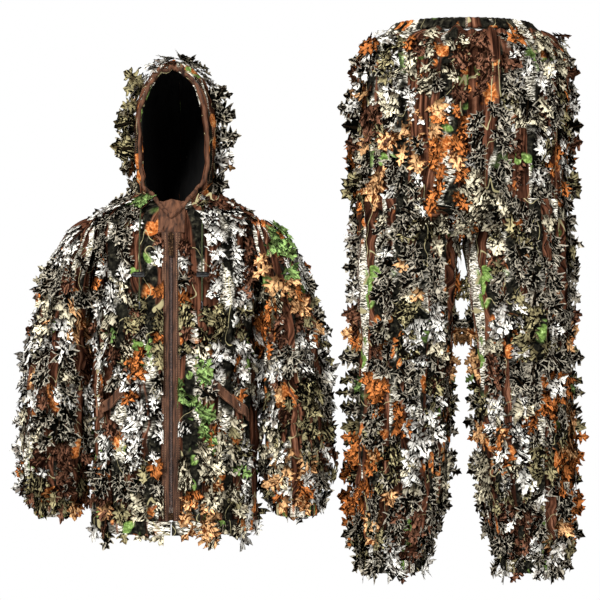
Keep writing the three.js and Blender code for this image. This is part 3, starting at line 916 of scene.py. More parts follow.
@dataclass(frozen=True)
class Link:
    """How a piece follows the frame: parented to one body, or, where a next body is given, with its place
    fixed in its mesh.

    Attributes:
        body: the body that it follows.
        child: the next body, or None.
        start: not used.
        end: not used.
    """

    body: str
    child: str | None = None
    start: tuple[float, float, float] = (0.0, 0.0, 0.0)
    end: tuple[float, float, float] = (0.0, 0.0, 1.0)

    def attach(self, made: bpy.types.Object) -> bpy.types.Object:
        """Makes a piece follow its body, or fixes its place in its mesh where a next body is given.

        Args:
            made: the piece.

        Returns:
            The same piece.
        """
        if self.child is None:
            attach(made, self.body)
        else:
            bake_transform(made)
        LOG.info("%s follows %s", made.name, self.child or self.body)
        return made


# ------------------------------------------------------------------ leaves
class LeafCut(Enum):
    """Outlines of the cut leaves: (share of the length, half width) pairs from the stalk to the tip."""

    OAK = (
        (0.0, 0.02), (0.10, 0.03), (0.16, 0.13), (0.15, 0.25), (0.22, 0.17), (0.28, 0.13), (0.31, 0.33),
        (0.36, 0.43), (0.40, 0.24), (0.46, 0.14), (0.52, 0.36), (0.60, 0.46), (0.62, 0.26), (0.67, 0.13),
        (0.74, 0.27), (0.82, 0.32), (0.82, 0.15), (0.90, 0.11), (1.0, 0.0),
    )  # fmt: skip
    MAPLE = (
        (0.0, 0.02), (0.10, 0.03), (0.12, 0.20), (0.04, 0.42), (0.18, 0.34), (0.26, 0.22), (0.32, 0.46),
        (0.46, 0.64), (0.46, 0.44), (0.56, 0.42), (0.50, 0.27), (0.58, 0.16), (0.66, 0.24), (0.78, 0.30),
        (0.78, 0.15), (0.88, 0.09), (1.0, 0.0),
    )  # fmt: skip
    SPRIG = (
        (0.0, 0.02), (0.08, 0.03), (0.14, 0.10), (0.10, 0.22), (0.22, 0.12), (0.30, 0.09), (0.30, 0.30),
        (0.40, 0.24), (0.44, 0.10), (0.50, 0.12), (0.54, 0.34), (0.62, 0.22), (0.64, 0.09), (0.72, 0.12),
        (0.80, 0.24), (0.84, 0.10), (0.92, 0.07), (1.0, 0.0),
    )  # fmt: skip

    def sheet(self) -> tuple[Array, Array, Array]:
        """One flat leaf of this cut, with a rib down its middle.

        Returns:
            Each point's share of the length, its share of the width, and the faces.
        """
        outline = np.array(self.value)
        steps = len(outline)
        rib = np.linspace(0, 1, steps)
        along = np.stack([rib, outline[:, 0], outline[:, 0]], axis=1).ravel()
        wide = np.stack([np.zeros(steps), outline[:, 1], -outline[:, 1]], axis=1).ravel()
        first = 3 * np.arange(steps - 1)[:, None]
        sides = [first + np.array(corners) for corners in ((0, 1, 4, 3), (2, 0, 3, 5))]
        return along, wide, np.concatenate(sides, axis=1).reshape(-1, 4)


@dataclass(frozen=True)
class Tone:
    """One printed leaf colour.

    Attributes:
        weight: how often it is chosen.
        tint: its main colour.
        fleck: the colour of its flecks.
        share: how much of the leaf is flecked.
    """

    weight: float
    tint: Rgb
    fleck: Rgb
    share: float


class LeafTone(Enum):
    """The printed colours of the leaves."""

    PALE = Tone(0.30, rgb("fbf8ee"), rgb("080706"), 0.470)
    CREAM = Tone(0.11, rgb("dcd2b4"), rgb("17130c"), 0.490)
    DARK = Tone(0.22, rgb("050504"), rgb("a59d8c"), 0.420)
    KHAKI = Tone(0.12, rgb("a0966f"), rgb("080705"), 0.505)
    ORANGE = Tone(0.11, rgb("cd7c42"), rgb("2c1408"), 0.465)
    TAN = Tone(0.05, rgb("ecb881"), rgb("542b12"), 0.455)
    GREEN = Tone(0.020, rgb("8fae66"), rgb("2a3a1c"), 0.460)
    BROWN = Tone(0.10, rgb("7d5642"), rgb("1a0e09"), 0.490)


EDGE_PALETTE = {LeafTone.PALE: 0.6, LeafTone.DARK: 1.5, LeafTone.KHAKI: 1.3}  # darker, as at a garment's sides


def pressed(points: Array) -> Array:
    """Leaf points with the tips pressed back where they stand out too far from the frame's box.

    Args:
        points: the points.

    Returns:
        The pressed points.
    """
    ease = 0.008  # tips beyond this depth inside the limit are pressed more and more
    made = points.copy()
    for axis, spare in enumerate(TIP_SPARE):
        near, far = CAD_BOX[0][axis] - spare + ease, CAD_BOX[1][axis] + spare - ease
        under, over = np.maximum(near - points[:, axis], 0), np.maximum(points[:, axis] - far, 0)
        made[:, axis] = np.clip(points[:, axis], near, far)
        made[:, axis] += ease * (np.exp(-under / ease) - np.exp(-over / ease))
    return made


@dataclass
class Foliage:
    """Strips of cut leaves sewn up and down a garment shape.

    Attributes:
        name: the piece's name.
        form: the shape they are sewn to.
        low: the lowest leaf's height.
        high: the highest leaf's height.
        start: the angle where they start, at each height.
        stop: the angle where they stop, at each height.
        seed: chooses places, sizes and colours.
        strips: how many strips of leaves there are side by side.
        leaf_gap: the distance down a strip from leaf to leaf, in metres.
        size: the typical leaf length, in metres.
        lift: how far tips stand off the cloth, in metres.
        lean: how far leaves turn outward from straight down, in degrees.
        stand: from 0, laid on the cloth, to 1, standing out of it and facing the front.
        lane: how far leaves are sewn from a strip's middle, as a share of its width.
        root: how far under the cloth the stalks start, in metres.
        keep: says which sewing places are used, or None for all.
        calm: a multiplier for the lift at each place, or None for 1.
        hand: 1, or -1 for a mirror image.
        palette: multipliers for how often each tone is used.
        parting: half the width of the front strip that tips are kept out of, or 0 for none.
    """

    name: str
    form: Form
    low: float
    high: float
    start: Edge
    stop: Edge
    seed: int
    strips: int
    leaf_gap: float = 0.009
    size: float = 0.040
    lift: float = 0.009
    lean: float = 34.0
    stand: float = 0.0
    lane: float = 0.17
    root: float = 0.0
    keep: Callable[[Array], Array] | None = None
    calm: Callable[[Array], Array] | None = None
    hand: float = 1.0
    palette: dict[LeafTone, float] = field(default_factory=dict)
    parting: float = 0.0

    def sewing_places(self, draw: np.random.Generator) -> tuple[Array, Array, Array]:
        """Spreads the leaves' stalks along the strips.

        Args:
            draw: the random draws.

        Returns:
            The angle and height of each stalk, and the side of its strip, -1 or 1.
        """
        count = max(2, round(self.form.slant(self.low, self.high) / self.leaf_gap))
        angle, height, side = [], [], []
        for strip in range(self.strips):
            along = (np.arange(count) + draw.uniform(0, 1, count)) / count
            z = self.form.even_heights(self.low, self.high, along)
            hand = np.where(np.arange(count) % 2, 1.0, -1.0)
            place = (strip + 0.5 + hand * self.lane + draw.normal(0, 0.05, count)) / self.strips
            place = place + 0.10 / self.strips * np.sin(z * draw.uniform(9, 16) + draw.uniform(0, 6))
            angle.append(self.start(z) * (1 - place) + self.stop(z) * place)
            height.append(z)
            side.append(hand)
        return np.concatenate(angle), np.concatenate(height), np.concatenate(side)

    def tones(self, draw: np.random.Generator, angle: Array, z: Array) -> Array:
        """Chooses the leaves' tones: patches of one colour, with strays.

        Args:
            draw: the random draws.
            angle: the angle of each stalk round the form.
            z: its height.

        Returns:
            The number of each leaf's tone.
        """
        tones = list(LeafTone)
        weights = np.array([tone.value.weight * self.palette.get(tone, 1.0) for tone in tones])
        weights /= weights.sum()
        girth = self.form.girth((self.low + self.high) / 2)
        patches = max(8, int(girth * (self.high - self.low) / 0.0045))
        turns = draw.uniform(-math.pi, math.pi, patches)
        middle = np.stack([turns, draw.uniform(self.low, self.high, patches)], axis=1)
        spread = np.array([girth / (2 * math.pi), 0.62])
        place = np.stack([angle, z], axis=1)
        nearest = np.argmin((((place[:, None] - middle[None]) * spread) ** 2).sum(axis=2), axis=1)
        patch = draw.choice(len(tones), patches, p=weights)
        stray = draw.choice(len(tones), len(angle), p=weights)
        return np.where(draw.uniform(size=len(angle)) < 0.80, patch[nearest], stray)

    def aim(
        self, draw: np.random.Generator, angle: Array, z: Array, side: Array
    ) -> tuple[Array, Array, Array, Array, Array]:
        """How each leaf hangs from its stalk.

        Args:
            draw: the random draws.
            angle: the angle of each stalk round the form.
            z: its height.
            side: which side of its strip it is on, -1 or 1.

        Returns:
            The stalk's place, the unit vectors along, beside and out of the leaf, and how calm it lies.
        """
        count = len(angle)
        across, up, out = self.form.frame_at(angle, z)
        foot = self.form.place(angle, z, draw.uniform(0.001, 0.006, count) - self.root)
        lean = side * np.radians(draw.normal(self.lean, 18, count))
        heading = across * np.sin(lean)[:, None] - up * np.cos(lean)[:, None]
        forward = -across * np.sign(np.sin(angle))[:, None]
        stand = np.zeros((count, 1))
        if self.stand:
            stand = np.clip(draw.normal(self.stand, 0.12, count), 0, 1)[:, None]
        rise = np.radians(draw.normal(-12, 26, count))[:, None]
        heading = heading * (1 - stand) + (out * np.cos(rise) + up * np.sin(rise)) * stand
        out = out * (1 - stand) + forward * stand
        out /= np.linalg.norm(out, axis=1)[:, None]
        heading -= out * (heading * out).sum(axis=1)[:, None]
        heading /= np.linalg.norm(heading, axis=1)[:, None]
        beside = np.cross(out, heading) * self.hand
        calm = self.calm(foot) if self.calm is not None else np.ones(count)
        roll = (draw.normal(0, 0.26, count) * calm)[:, None]
        turned = beside * np.cos(roll) + out * np.sin(roll)
        return foot, heading, turned, out * np.cos(roll) - beside * np.sin(roll), calm

    def parted(self, spots: Array, foot: Array) -> Array:
        """Leaf points with the tips moved out of the front strip, each to its own stalk's side.

        Args:
            spots: the points, leaf by leaf.
            foot: each leaf's stalk.

        Returns:
            The moved points.
        """
        most = 0.97  # not the whole way, so that tips don't lie in one line
        hand = np.sign(foot[:, 0])[:, None]
        beyond = np.minimum(spots[..., 0] * hand - self.parting, 0.0) * (spots[..., 1] < 0)
        moved = spots.copy()
        moved[..., 0] -= beyond * hand * most
        return moved

    def build(self) -> bpy.types.Object:
        """Makes all the leaves of this shape as one mesh.

        Returns:
            The leaves' object.
        """
        draw = np.random.default_rng(self.seed)
        angle, z, side = self.sewing_places(draw)
        if self.keep is not None:
            kept = self.keep(self.form.base(angle, z))
            angle, z, side = angle[kept], z[kept], side[kept]
        tone = self.tones(draw, angle, z)
        foot, heading, beside, out, calm = self.aim(draw, angle * self.hand, z, side * self.hand)
        count = len(foot)
        length = self.size * draw.uniform(0.78, 1.22, count)
        width = length * draw.uniform(0.85, 1.15, count)
        lift = self.lift * draw.uniform(0.15, 1.35, count)
        cup = draw.normal(0.10, 0.22, count)
        curl = draw.normal(0.0, 0.12, count)
        kind = draw.choice(len(LeafCut), count, p=CUT_SHARES)
        points, faces, marks = [], [], []
        total = 0
        for number, cut in enumerate(LeafCut):
            chosen = np.flatnonzero(kind == number)
            along, wide, shape = cut.sheet()
            a, w = along[None, :, None], wide[None, :, None]
            jag = draw.normal(0, JAG, (len(chosen), len(along), 1)) * (np.abs(w) > 0.04)
            size, broad = length[chosen, None, None], width[chosen, None, None]
            height = calm[chosen, None, None] * (
                lift[chosen, None, None] * a**1.5
                + cup[chosen, None, None] * np.abs(w) * broad
                + curl[chosen, None, None] * np.sin(a * 4.5 + w * 3) * size * 0.4
            )
            spots = (
                foot[chosen, None]
                + heading[chosen, None] * (a + jag) * size
                + beside[chosen, None] * (w + jag) * broad
                + out[chosen, None] * height
            )
            if self.parting:
                spots = self.parted(spots, foot[chosen])
            points.append(spots.reshape(-1, 3))
            starts = total + np.arange(len(chosen)) * len(along)
            faces.append((shape[None] + starts[:, None, None]).reshape(-1, 4))
            total += len(chosen) * len(along)
            leaf = np.repeat(chosen, len(along))
            flat = np.stack([(w * broad).ravel(), (a * size).ravel(), PRINT_SHIFT * leaf], axis=1)
            marks.append((leaf, np.tile(along, len(chosen)), np.tile(np.abs(wide), len(chosen)), flat))
        made = mesh_object(self.name, pressed(np.concatenate(points)), np.concatenate(faces), Finish.LEAF)
        self.paint(made, draw, tone, *(np.concatenate(part) for part in zip(*marks)))
        return made

    def paint(
        self,
        made: bpy.types.Object,
        draw: np.random.Generator,
        tone: Array,
        leaf: Array,
        along: Array,
        wide: Array,
        flat: Array,
    ) -> None:
        """Stores each leaf's print on the mesh.

        Args:
            made: the leaves' object.
            draw: the random draws.
            tone: the tone of each leaf.
            leaf: the leaf that each point belongs to.
            along: each point's share of its leaf's length.
            wide: how far it is from the rib, as a share of the width.
            flat: its place on the printed cloth that the leaf was cut from.
        """
        tones = [member.value for member in LeafTone]
        count = leaf.max() + 1
        bright = draw.uniform(0.62, 1.12, count)
        tint = np.array([t.tint for t in tones])[tone[leaf]] * bright[leaf, None]
        fleck = np.array([t.fleck for t in tones])[tone[leaf]]
        share = np.array([t.share for t in tones])[tone[leaf]] + draw.normal(0, 0.025, count)[leaf]
        on_rib = wide < 0.001
        side_veins = 0.5 + 0.5 * np.sin(along * 38 - wide * 22)
        opaque = np.ones((len(leaf), 1))
        store(made, "tint", "FLOAT_COLOR", np.hstack([tint, opaque]))
        store(made, "fleck", "FLOAT_COLOR", np.hstack([fleck, opaque]))
        store(made, "share", "FLOAT", share)
        store(made, "rim", "FLOAT", ~on_rib)
        store(made, "vein", "FLOAT", np.where(on_rib, 1.0, 0.4 * side_veins))
        store(made, "along", "FLOAT", along)
        store(made, "print", "FLOAT_VECTOR", flat)


@dataclass
class Band:
    """A gathered band or an elastic round a garment's edge.

    Attributes:
        name: the piece's name.
        node: the frame node that it stands for.
        finish: its material.
        ribs: how many gathers run round it.
        depth: how deep the gathers are, in metres.
        slot: a label; the label elastic makes the band thinner.
    """

    name: str
    node: str
    finish: Finish
    ribs: int
    depth: float
    slot: str = "leafy_cloth"

    def build(self, form: Form, out: float, slit: bool = False) -> bpy.types.Object:
        """Makes the band as a soft closed ring between its node's heights.

        Args:
            form: the shape that gives its ovals.
            out: how far it lies from that shape, in metres.
            slit: True where the ring is open at the middle of the front.

        Returns:
            The band's object.
        """
        low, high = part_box(self.node)
        thick = 0.0022 if self.slot == "elastic" else 0.0045
        gap = 0.006 if slit else 0.0
        around = 360
        turn = np.linspace(gap, 2 * math.pi - gap, around, endpoint=slit)
        section = np.linspace(0, 2 * math.pi, 14, endpoint=False)
        rise = np.sign(np.sin(section)) * np.abs(np.sin(section)) ** 0.45
        deep = np.sign(np.cos(section)) * np.abs(np.cos(section)) ** 0.7
        middle, half = (high[2] + low[2]) / 2, (high[2] - low[2]) / 2
        rows = []
        for up, away in zip(rise, deep):
            z = np.full(around, middle + up * half * 0.97)
            wave = np.sin(turn * self.ribs) + 0.5 * np.sin(turn * self.ribs * 1.7 + 2 * np.sin(3 * turn))
            lift = out + away * thick + self.depth * wave * (1 - 0.35 * abs(up))
            base = form.base(turn, z)
            rows.append(base + form.frame_at(turn, z)[2] * lift[:, None])
        points = np.stack(rows, axis=1).reshape(-1, 3)
        faces = []
        ring = len(section)
        last = around - 1 if slit else around
        for i in range(last):
            for j in range(ring):
                here, beside = i * ring, ((i + 1) % around) * ring
                faces.append((here + j, beside + j, beside + (j + 1) % ring, here + (j + 1) % ring))
        if slit:
            faces += [tuple(range(ring)), tuple(range(around * ring - 1, (around - 1) * ring - 1, -1))]
        made = mesh_object(self.name, points, faces, self.finish)
        flat = np.stack([np.repeat(turn, ring) * 0.16, points[:, 2], np.zeros(len(points))], axis=1)
        store(made, "print", "FLOAT_VECTOR", flat)
        store(made, "gap", "FLOAT", np.full(len(points), -0.6))
        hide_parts(self.node)
        return made


@dataclass
class Patch:
    """A small four-cornered piece of doubled cloth laid on a form, such as a pocket welt.

    Attributes:
        name: the piece's name.
        node: the frame node that it stands for.
        finish: its material.
        inner: (x, z) of its inner top corner, in metres.
        outer: (x, z) of its outer top corner.
        inner_drop: its height at the inner end.
        outer_drop: its height at the outer end.
        out: how far it lies above the cloth.
        thick: how thick it is.
    """

    name: str
    node: str
    finish: Finish
    inner: tuple[float, float]
    outer: tuple[float, float]
    inner_drop: float
    outer_drop: float
    out: float
    thick: float

    def build(self, form: Form, body: str, slot: str) -> bpy.types.Object:
        """Makes the patch on a form, and makes it follow a body.

        Args:
            form: the shape it lies on.
            body: the frame body that it follows.
            slot: not used.

        Returns:
            The patch's object.
        """
        step = 0.003
        columns = max(4, int(abs(self.outer[0] - self.inner[0]) / step))
        rows = max(4, int(max(self.inner_drop, self.outer_drop) / step))
        u, v = np.meshgrid(np.linspace(0, 1, columns), np.linspace(0, 1, rows))
        x = self.inner[0] + (self.outer[0] - self.inner[0]) * u
        top = self.inner[1] + (self.outer[1] - self.inner[1]) * u
        z = top - (self.inner_drop + (self.outer_drop - self.inner_drop) * u) * v
        angle = form.angle_of(x, z)
        soft = 0.0009 * ripple(np.stack([x, z], axis=-1).reshape(-1, 2), 0.03, 5).reshape(x.shape)
        points = form.place(angle, z, self.out + soft).reshape(-1, 3)
        made = mesh_object(self.name, points, grid_faces(rows, columns), self.finish)
        modify(made, "SOLIDIFY", thickness=self.thick, offset=0.0)
        modify(made, "BEVEL", width=self.thick * 0.3, segments=2)
        settle(made)
        spots = np.empty(len(made.data.vertices) * 3, np.float32)
        made.data.vertices.foreach_get("co", spots)
        store(made, "print", "FLOAT_VECTOR", spots.reshape(-1, 3)[:, (0, 2, 1)])
        store(made, "gap", "FLOAT", np.full(len(made.data.vertices), -0.3))
        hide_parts(self.node)
        return Link(body).attach(made)


def stitches(name: str, path: Array, pitch: float = 0.0042) -> bpy.types.Object:
    """A row of short raised stitches along a path.

    Args:
        name: the piece's name.
        path: close points along the seam, in metres.
        pitch: the distance from one stitch to the next.

    Returns:
        The stitches as one object.
    """
    steps = np.linalg.norm(np.diff(path, axis=0), axis=1)
    arc = np.concatenate([[0.0], np.cumsum(steps)])
    points, faces = [], []
    sides, radius = 5, 0.00035
    for start in np.arange(0.5 * pitch, arc[-1] - pitch, pitch):
        along = np.array([start, start + 0.16 * pitch, start + 0.5 * pitch, start + 0.68 * pitch])
        spots = np.stack([np.interp(along, arc, path[:, i]) for i in range(3)], axis=1)
        heading = spots[-1] - spots[0]
        heading /= np.linalg.norm(heading)
        side = np.cross(heading, (0.0, 1.0, 0.0))
        side /= max(np.linalg.norm(side), 1e-6)
        up = np.cross(side, heading)
        turn = np.linspace(0, 2 * math.pi, sides, endpoint=False)
        first = len(points) * sides
        for spot, swell in zip(spots, (0.35, 1.0, 1.0, 0.35)):
            ring = np.cos(turn)[:, None] * side + np.sin(turn)[:, None] * up
            points.append(spot + radius * swell * ring)
        faces += grid_faces(4, sides, closed=True, start=first)
        faces.append(tuple(range(first + sides - 1, first - 1, -1)))
        faces.append(tuple(range(first + 3 * sides, first + 4 * sides)))
    made = mesh_object(name, np.concatenate(points), faces, Finish.THREAD)
    return made


# ------------------------------------------------------------------ the jacket
@dataclass
class Jacket:
    """The jacket's trunk: three cloth panels, hem, neck edge, placket and slanted pockets.

    Attributes:
        neck_half: half the width of the open neck, in metres.
        neck_low: the height of the point of the neck.
        band_half: half the width of the zip band.
        welt_inner: how far out a pocket mouth starts.
        welt_outer: how far out a pocket mouth ends.
    """

    neck_half: float = 0.042
    neck_low: float = -0.043
    band_half: float = 0.012
    welt_inner: float = 0.078
    welt_outer: float = 0.149

    def __post_init__(self) -> None:
        """Takes the trunk's shape from the frame."""
        wide, deep, self.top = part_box("jacket_back")[1]
        hem, self.band_top = (corner.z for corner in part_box("hem_band"))
        self.hem = hem
        self.form = Form(
            [
                Ring(self.top, 0.50 * wide, 0.70 * deep),
                Ring(self.top - 0.031, 0.87 * wide, 0.85 * deep),
                Ring(self.top - 0.054, 0.99 * wide, 0.95 * deep),
                Ring(self.top - 0.080, wide, deep),
                Ring(0.65 * hem, 0.985 * wide, 0.99 * deep),
                Ring(self.band_top, wide, deep),
                Ring(hem, 0.985 * wide, 0.985 * deep),
            ],
            fold=0.0045,
            seed=11,
            gathers=[(self.band_top, 0.0022)],
            proud_top=0.008,
        )

    def front_edge(self, z: Array) -> Array:
        """The angle of a front panel's edge: beside the zip, and round the open neck above it."""
        share = np.clip((z - self.neck_low) / (self.top - self.neck_low), 0.0, 1.0)
        return self.form.angle_of(np.maximum(self.band_half, self.neck_half * share), z)

    def armhole(self, points: Array) -> Array:
        """True for the places outside the two armholes."""
        inside = np.hypot(points[:, 1], points[:, 2] - ARMHOLE_Z) < ARMHOLE_RADIUS
        return ~(inside & (np.abs(points[:, 0]) > 0.12))

    def panels(self) -> list[Panel]:
        """The back and the two front panels.

        Returns:
            The panels, not yet made.
        """
        common = dict(form=self.form, low=self.band_top - 0.005, high=self.top, body="jacket")
        common |= dict(finish=Finish.JACKET_PRINT, keep=self.armhole)
        stop = level(2 * math.pi - SIDE)
        made = [Panel("back_cloth", start=level(SIDE), stop=stop, node="jacket_back", **common)]
        for side, sign in SIDES.items():
            edges = dict(start=self.front_edge, stop=level(SIDE))
            if sign < 0:
                edges = dict(start=level(-SIDE), stop=lambda z: -self.front_edge(z))
            made.append(Panel(f"front_cloth_{side}", node=f"jacket_front_{side}", **edges, **common))
        return made

    def neck(self) -> None:
        """Makes the bound edge of the open neck and the placket below it."""
        across = np.linspace(-1, 1, 80)
        z = self.neck_low + (self.top - self.neck_low) * np.abs(across) ** 1.1
        z = np.minimum(z, self.top - 0.001)
        path = self.form.place(self.form.angle_of(across * self.neck_half, z), z, SINK - 0.001)
        edge = tube("neck_binding", path, lambda s: 0.0042 + 0.0004 * np.sin(s * 60), 12, Finish.BROWN)
        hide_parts("neck_edge")
        Link("jacket").attach(edge)
        low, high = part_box("neck_placket")
        placket = Patch(
            "neck_patch", "neck_placket", Finish.BROWN,
            (-high.x, high.z), (high.x, high.z), high.z - low.z, high.z - low.z, SINK - 0.003, 0.0022,
        )  # fmt: skip
        placket.build(self.form, "jacket", "brown_cloth")

    def pockets(self) -> None:
        """Makes the slanted welts with their stitching, and the bags behind them."""
        for side, sign in SIDES.items():
            low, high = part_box(f"pocket_welt_{side}")
            tall = 0.024
            inner, outer = (sign * self.welt_inner, high.z), (sign * self.welt_outer, low.z + tall)
            welt = Patch(
                f"welt_{side}", f"pocket_welt_{side}", Finish.BROWN, inner, outer, tall, tall,
                SINK + 0.0005, 0.0034,
            )  # fmt: skip
            welt.build(self.form, "jacket", "brown_cloth")
            for number, share in enumerate((0.14, 0.86)):
                x = np.linspace(inner[0], outer[0], 60)
                z = np.linspace(inner[1], outer[1], 60) - share * tall
                path = self.form.place(self.form.angle_of(x, z), z, SINK + 0.0028)
                Link("jacket").attach(stitches(f"welt_stitches_{side}_{number}", path))
            bag_low, bag_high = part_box(f"pocket_bag_{side}")
            drop = low.z + tall - bag_low.z
            bag = Patch(
                f"bag_{side}", f"pocket_bag_{side}", Finish.LINING,
                (inner[0], bag_high.z - 0.004), (outer[0], low.z + tall), 1.5 * drop, drop, -0.009, 0.0014,
            )  # fmt: skip
            bag.build(self.form, "jacket", "lining")

    def clear(self, points: Array) -> Array:
        """Says which places are clear of the zip band, neck, pocket mouths, armholes and cord locks.

        Args:
            points: places on the trunk.

        Returns:
            True for the clear places.
        """
        spare = 0.012  # kept free round the neck and the pocket mouths
        mouth_drop, mouth_half = 0.066, 0.030  # how far a pocket mouth slopes, and half its free height
        lane_half, lane_reach = 0.015, 0.080  # the free lane of a cord lock along its cord
        x, y, z = points.T
        away, front = np.abs(x), y < 0
        band = front & (away < 2 * self.band_half + 0.006 * np.sin(z * 90))
        neck = front & (z > self.neck_low - spare) & (away < self.neck_half + spare)
        slope = np.clip((away - self.welt_inner) / (self.welt_outer - self.welt_inner), 0, 1)
        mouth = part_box("pocket_welt_left")[1].z - mouth_drop * slope
        beside = (away > self.welt_inner - spare) & (away < self.welt_outer + 0.009)
        welt = front & (np.abs(z - mouth + 0.004) < mouth_half) & beside
        side = (away > 0.150) & (np.abs(y) < 0.050)
        locks = np.zeros(len(x), bool)
        for wearer in SIDES:
            low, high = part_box(f"cord_lock_{wearer}")
            lane = (np.abs(x - (low.x + high.x) / 2) < lane_half) & (np.abs(z - high.z - 0.02) < lane_reach)
            locks |= front & lane
        return ~(band | neck | welt | side | locks) & (z > self.hem + 0.006)

    def calm(self, points: Array) -> Array:
        """How freely leaves stand off the cloth: less on the chest, where the zip and locks move.

        Args:
            points: places on the trunk.

        Returns:
            A multiplier for each, from 0 to 1.
        """
        x, y, z = points.T
        chest = np.clip((0.10 - np.abs(x)) / 0.03, 0, 1) * np.clip((z + 0.26) / 0.03, 0, 1) * (y < 0)
        shoulder = np.clip((z + 0.10) / 0.05, 0, 1)
        return 1 - np.maximum(0.85 * chest, 0.6 * shoulder)

    def foliage(self) -> Foliage:
        """The leaves on the trunk.

        Returns:
            The leaves, not yet made.
        """
        return Foliage(
            "trunk_leaves", self.form, self.hem + 0.005, self.top - 0.002, *ALL_ROUND,
            21, STRIPS, leaf_gap=0.0105, size=0.044, lift=0.010, parting=0.014, keep=self.clear,
            calm=self.calm,
            palette={LeafTone.ORANGE: 1.3, LeafTone.TAN: 1.3, LeafTone.BROWN: 1.3, LeafTone.PALE: 0.85},
        )  # fmt: skip

    def build(self) -> None:
        """Makes the whole trunk."""
        link = Link("jacket")
        for panel in self.panels():
            link.attach(panel.build())
        hem = Band("hem", "hem_band", Finish.JACKET_PRINT, 46, 0.0010)
        link.attach(hem.build(self.form, -0.004, slit=True))
        elastic = Band("hem_stretch", "hem_elastic", Finish.ELASTIC, 60, 0.0003, "elastic")
        link.attach(elastic.build(self.form, -0.0115, slit=True))
        self.neck()
        self.pockets()
        link.attach(self.foliage().build())


@dataclass
class Zip:
    """The front zip: tapes, interlocked teeth, stops, end box, slider and pull.

    Attributes:
        pitch: the distance between teeth on one side, in metres.
        tooth: (distance from the middle, half height as a share of the pitch) pairs along one tooth.
        corners: the corners of a tooth's section, as shares of its half depth and half height.
    """

    pitch: float = 0.0032
    tooth: tuple[tuple[float, float], ...] = (
        (0.0029, 0.42), (0.0016, 0.40), (0.0006, 0.20), (-0.0005, 0.26), (-0.0013, 0.44), (-0.0017, 0.16),
    )  # fmt: skip
    corners: tuple[tuple[float, float], ...] = (
        (-1, -0.7), (-1, 0.7), (-0.55, 1), (0.55, 1), (1, 0.7), (1, -0.7), (0.55, -1), (-0.55, -1),
    )  # fmt: skip

    def tape(self, side: str, sign: float) -> None:
        """Makes one tape, creased along its middle and sewn down at its outer edge.

        Args:
            side: "left" or "right", the wearer's.
            sign: 1 for left, -1 for right.
        """
        low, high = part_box(f"zip_tape_{side}")
        inner, outer = (low.x, high.x) if sign > 0 else (high.x, low.x)
        rows, columns = 260, 7
        z = np.linspace(high.z, low.z, rows)[:, None] + np.zeros((1, columns))
        across = np.linspace(0, 1, columns)[None] + np.zeros((rows, 1))
        x = inner + (outer + sign * 0.002 - inner) * across
        wave = 0.0006 * ripple(np.stack([x, z], axis=-1).reshape(-1, 2), 0.05, 9).reshape(x.shape)
        y = low.y - 0.0006 + 0.0030 * across**2 + wave
        points = np.stack([x, y, z], axis=-1).reshape(-1, 3)
        made = mesh_object(f"tape_{side}", points, grid_faces(rows, columns), Finish.TAPE)
        modify(made, "SOLIDIFY", thickness=0.0011, offset=0.0)
        settle(made)
        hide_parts(f"zip_tape_{side}")
        Link("jacket").attach(made)
        for number, share in enumerate((0.55, 0.92)):
            seam = points.reshape(rows, columns, 3)[:, int(share * (columns - 1))] - (0, 0.0009, 0)
            Link("jacket").attach(stitches(f"tape_stitches_{side}_{number}", seam, 0.0046))

    def teeth(self) -> None:
        """Makes the chain: two rows of moulded teeth that mesh with each other."""
        low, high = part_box("zip_chain")
        middle = (low.y + high.y) / 2
        points, faces = [], []
        count = int((high.z - low.z) / self.pitch)
        for number in range(2 * count):
            sign = 1 if number % 2 else -1
            z = low.z + (number + 0.5) * self.pitch / 2
            first = len(points)
            for x, half in self.tooth:
                tall = half * self.pitch * 0.78
                deep = 0.00105 if x > 0.001 else 0.0009
                points += [(sign * x, middle + dy * deep, z + dz * tall) for dy, dz in self.corners]
            sides, last = len(self.corners), len(points)
            faces += grid_faces(len(self.tooth), sides, closed=True, start=first)
            faces.append(tuple(range(first + sides - 1, first - 1, -1)))
            faces.append(tuple(range(last - sides, last)))
        made = mesh_object("teeth", np.array(points), faces, Finish.TEETH)
        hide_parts("zip_chain")
        Link("jacket").attach(made)

    def build(self) -> None:
        """Makes the whole zip. The slider, its back plate and the pull keep the frame's own shapes."""
        for side, sign in SIDES.items():
            self.tape(side, sign)
        self.teeth()
        metal = ("slider", "slider_back", "pull", "end_box", "stop_left", "stop_right")
        for part in metal:
            wear(f"zip_{part}", Finish.BRASS, 0.00025)


def wear(node: str, finish: Finish, width: float) -> None:
    """Dresses a frame node that keeps its shape: a finish, softened edges and smooth faces.

    Args:
        node: the node's name.
        finish: its material.
        width: how wide its softened edges are, in metres.
    """
    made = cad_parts[node]
    made.data.materials.clear()
    made.data.materials.append(finish.material())
    modify(made, "BEVEL", width=width, segments=2, limit_method="ANGLE")
    modify(made, "WEIGHTED_NORMAL")
    made.data.polygons.foreach_set("use_smooth", [True] * len(made.data.polygons))
    LOG.info("%s keeps its shape", node)


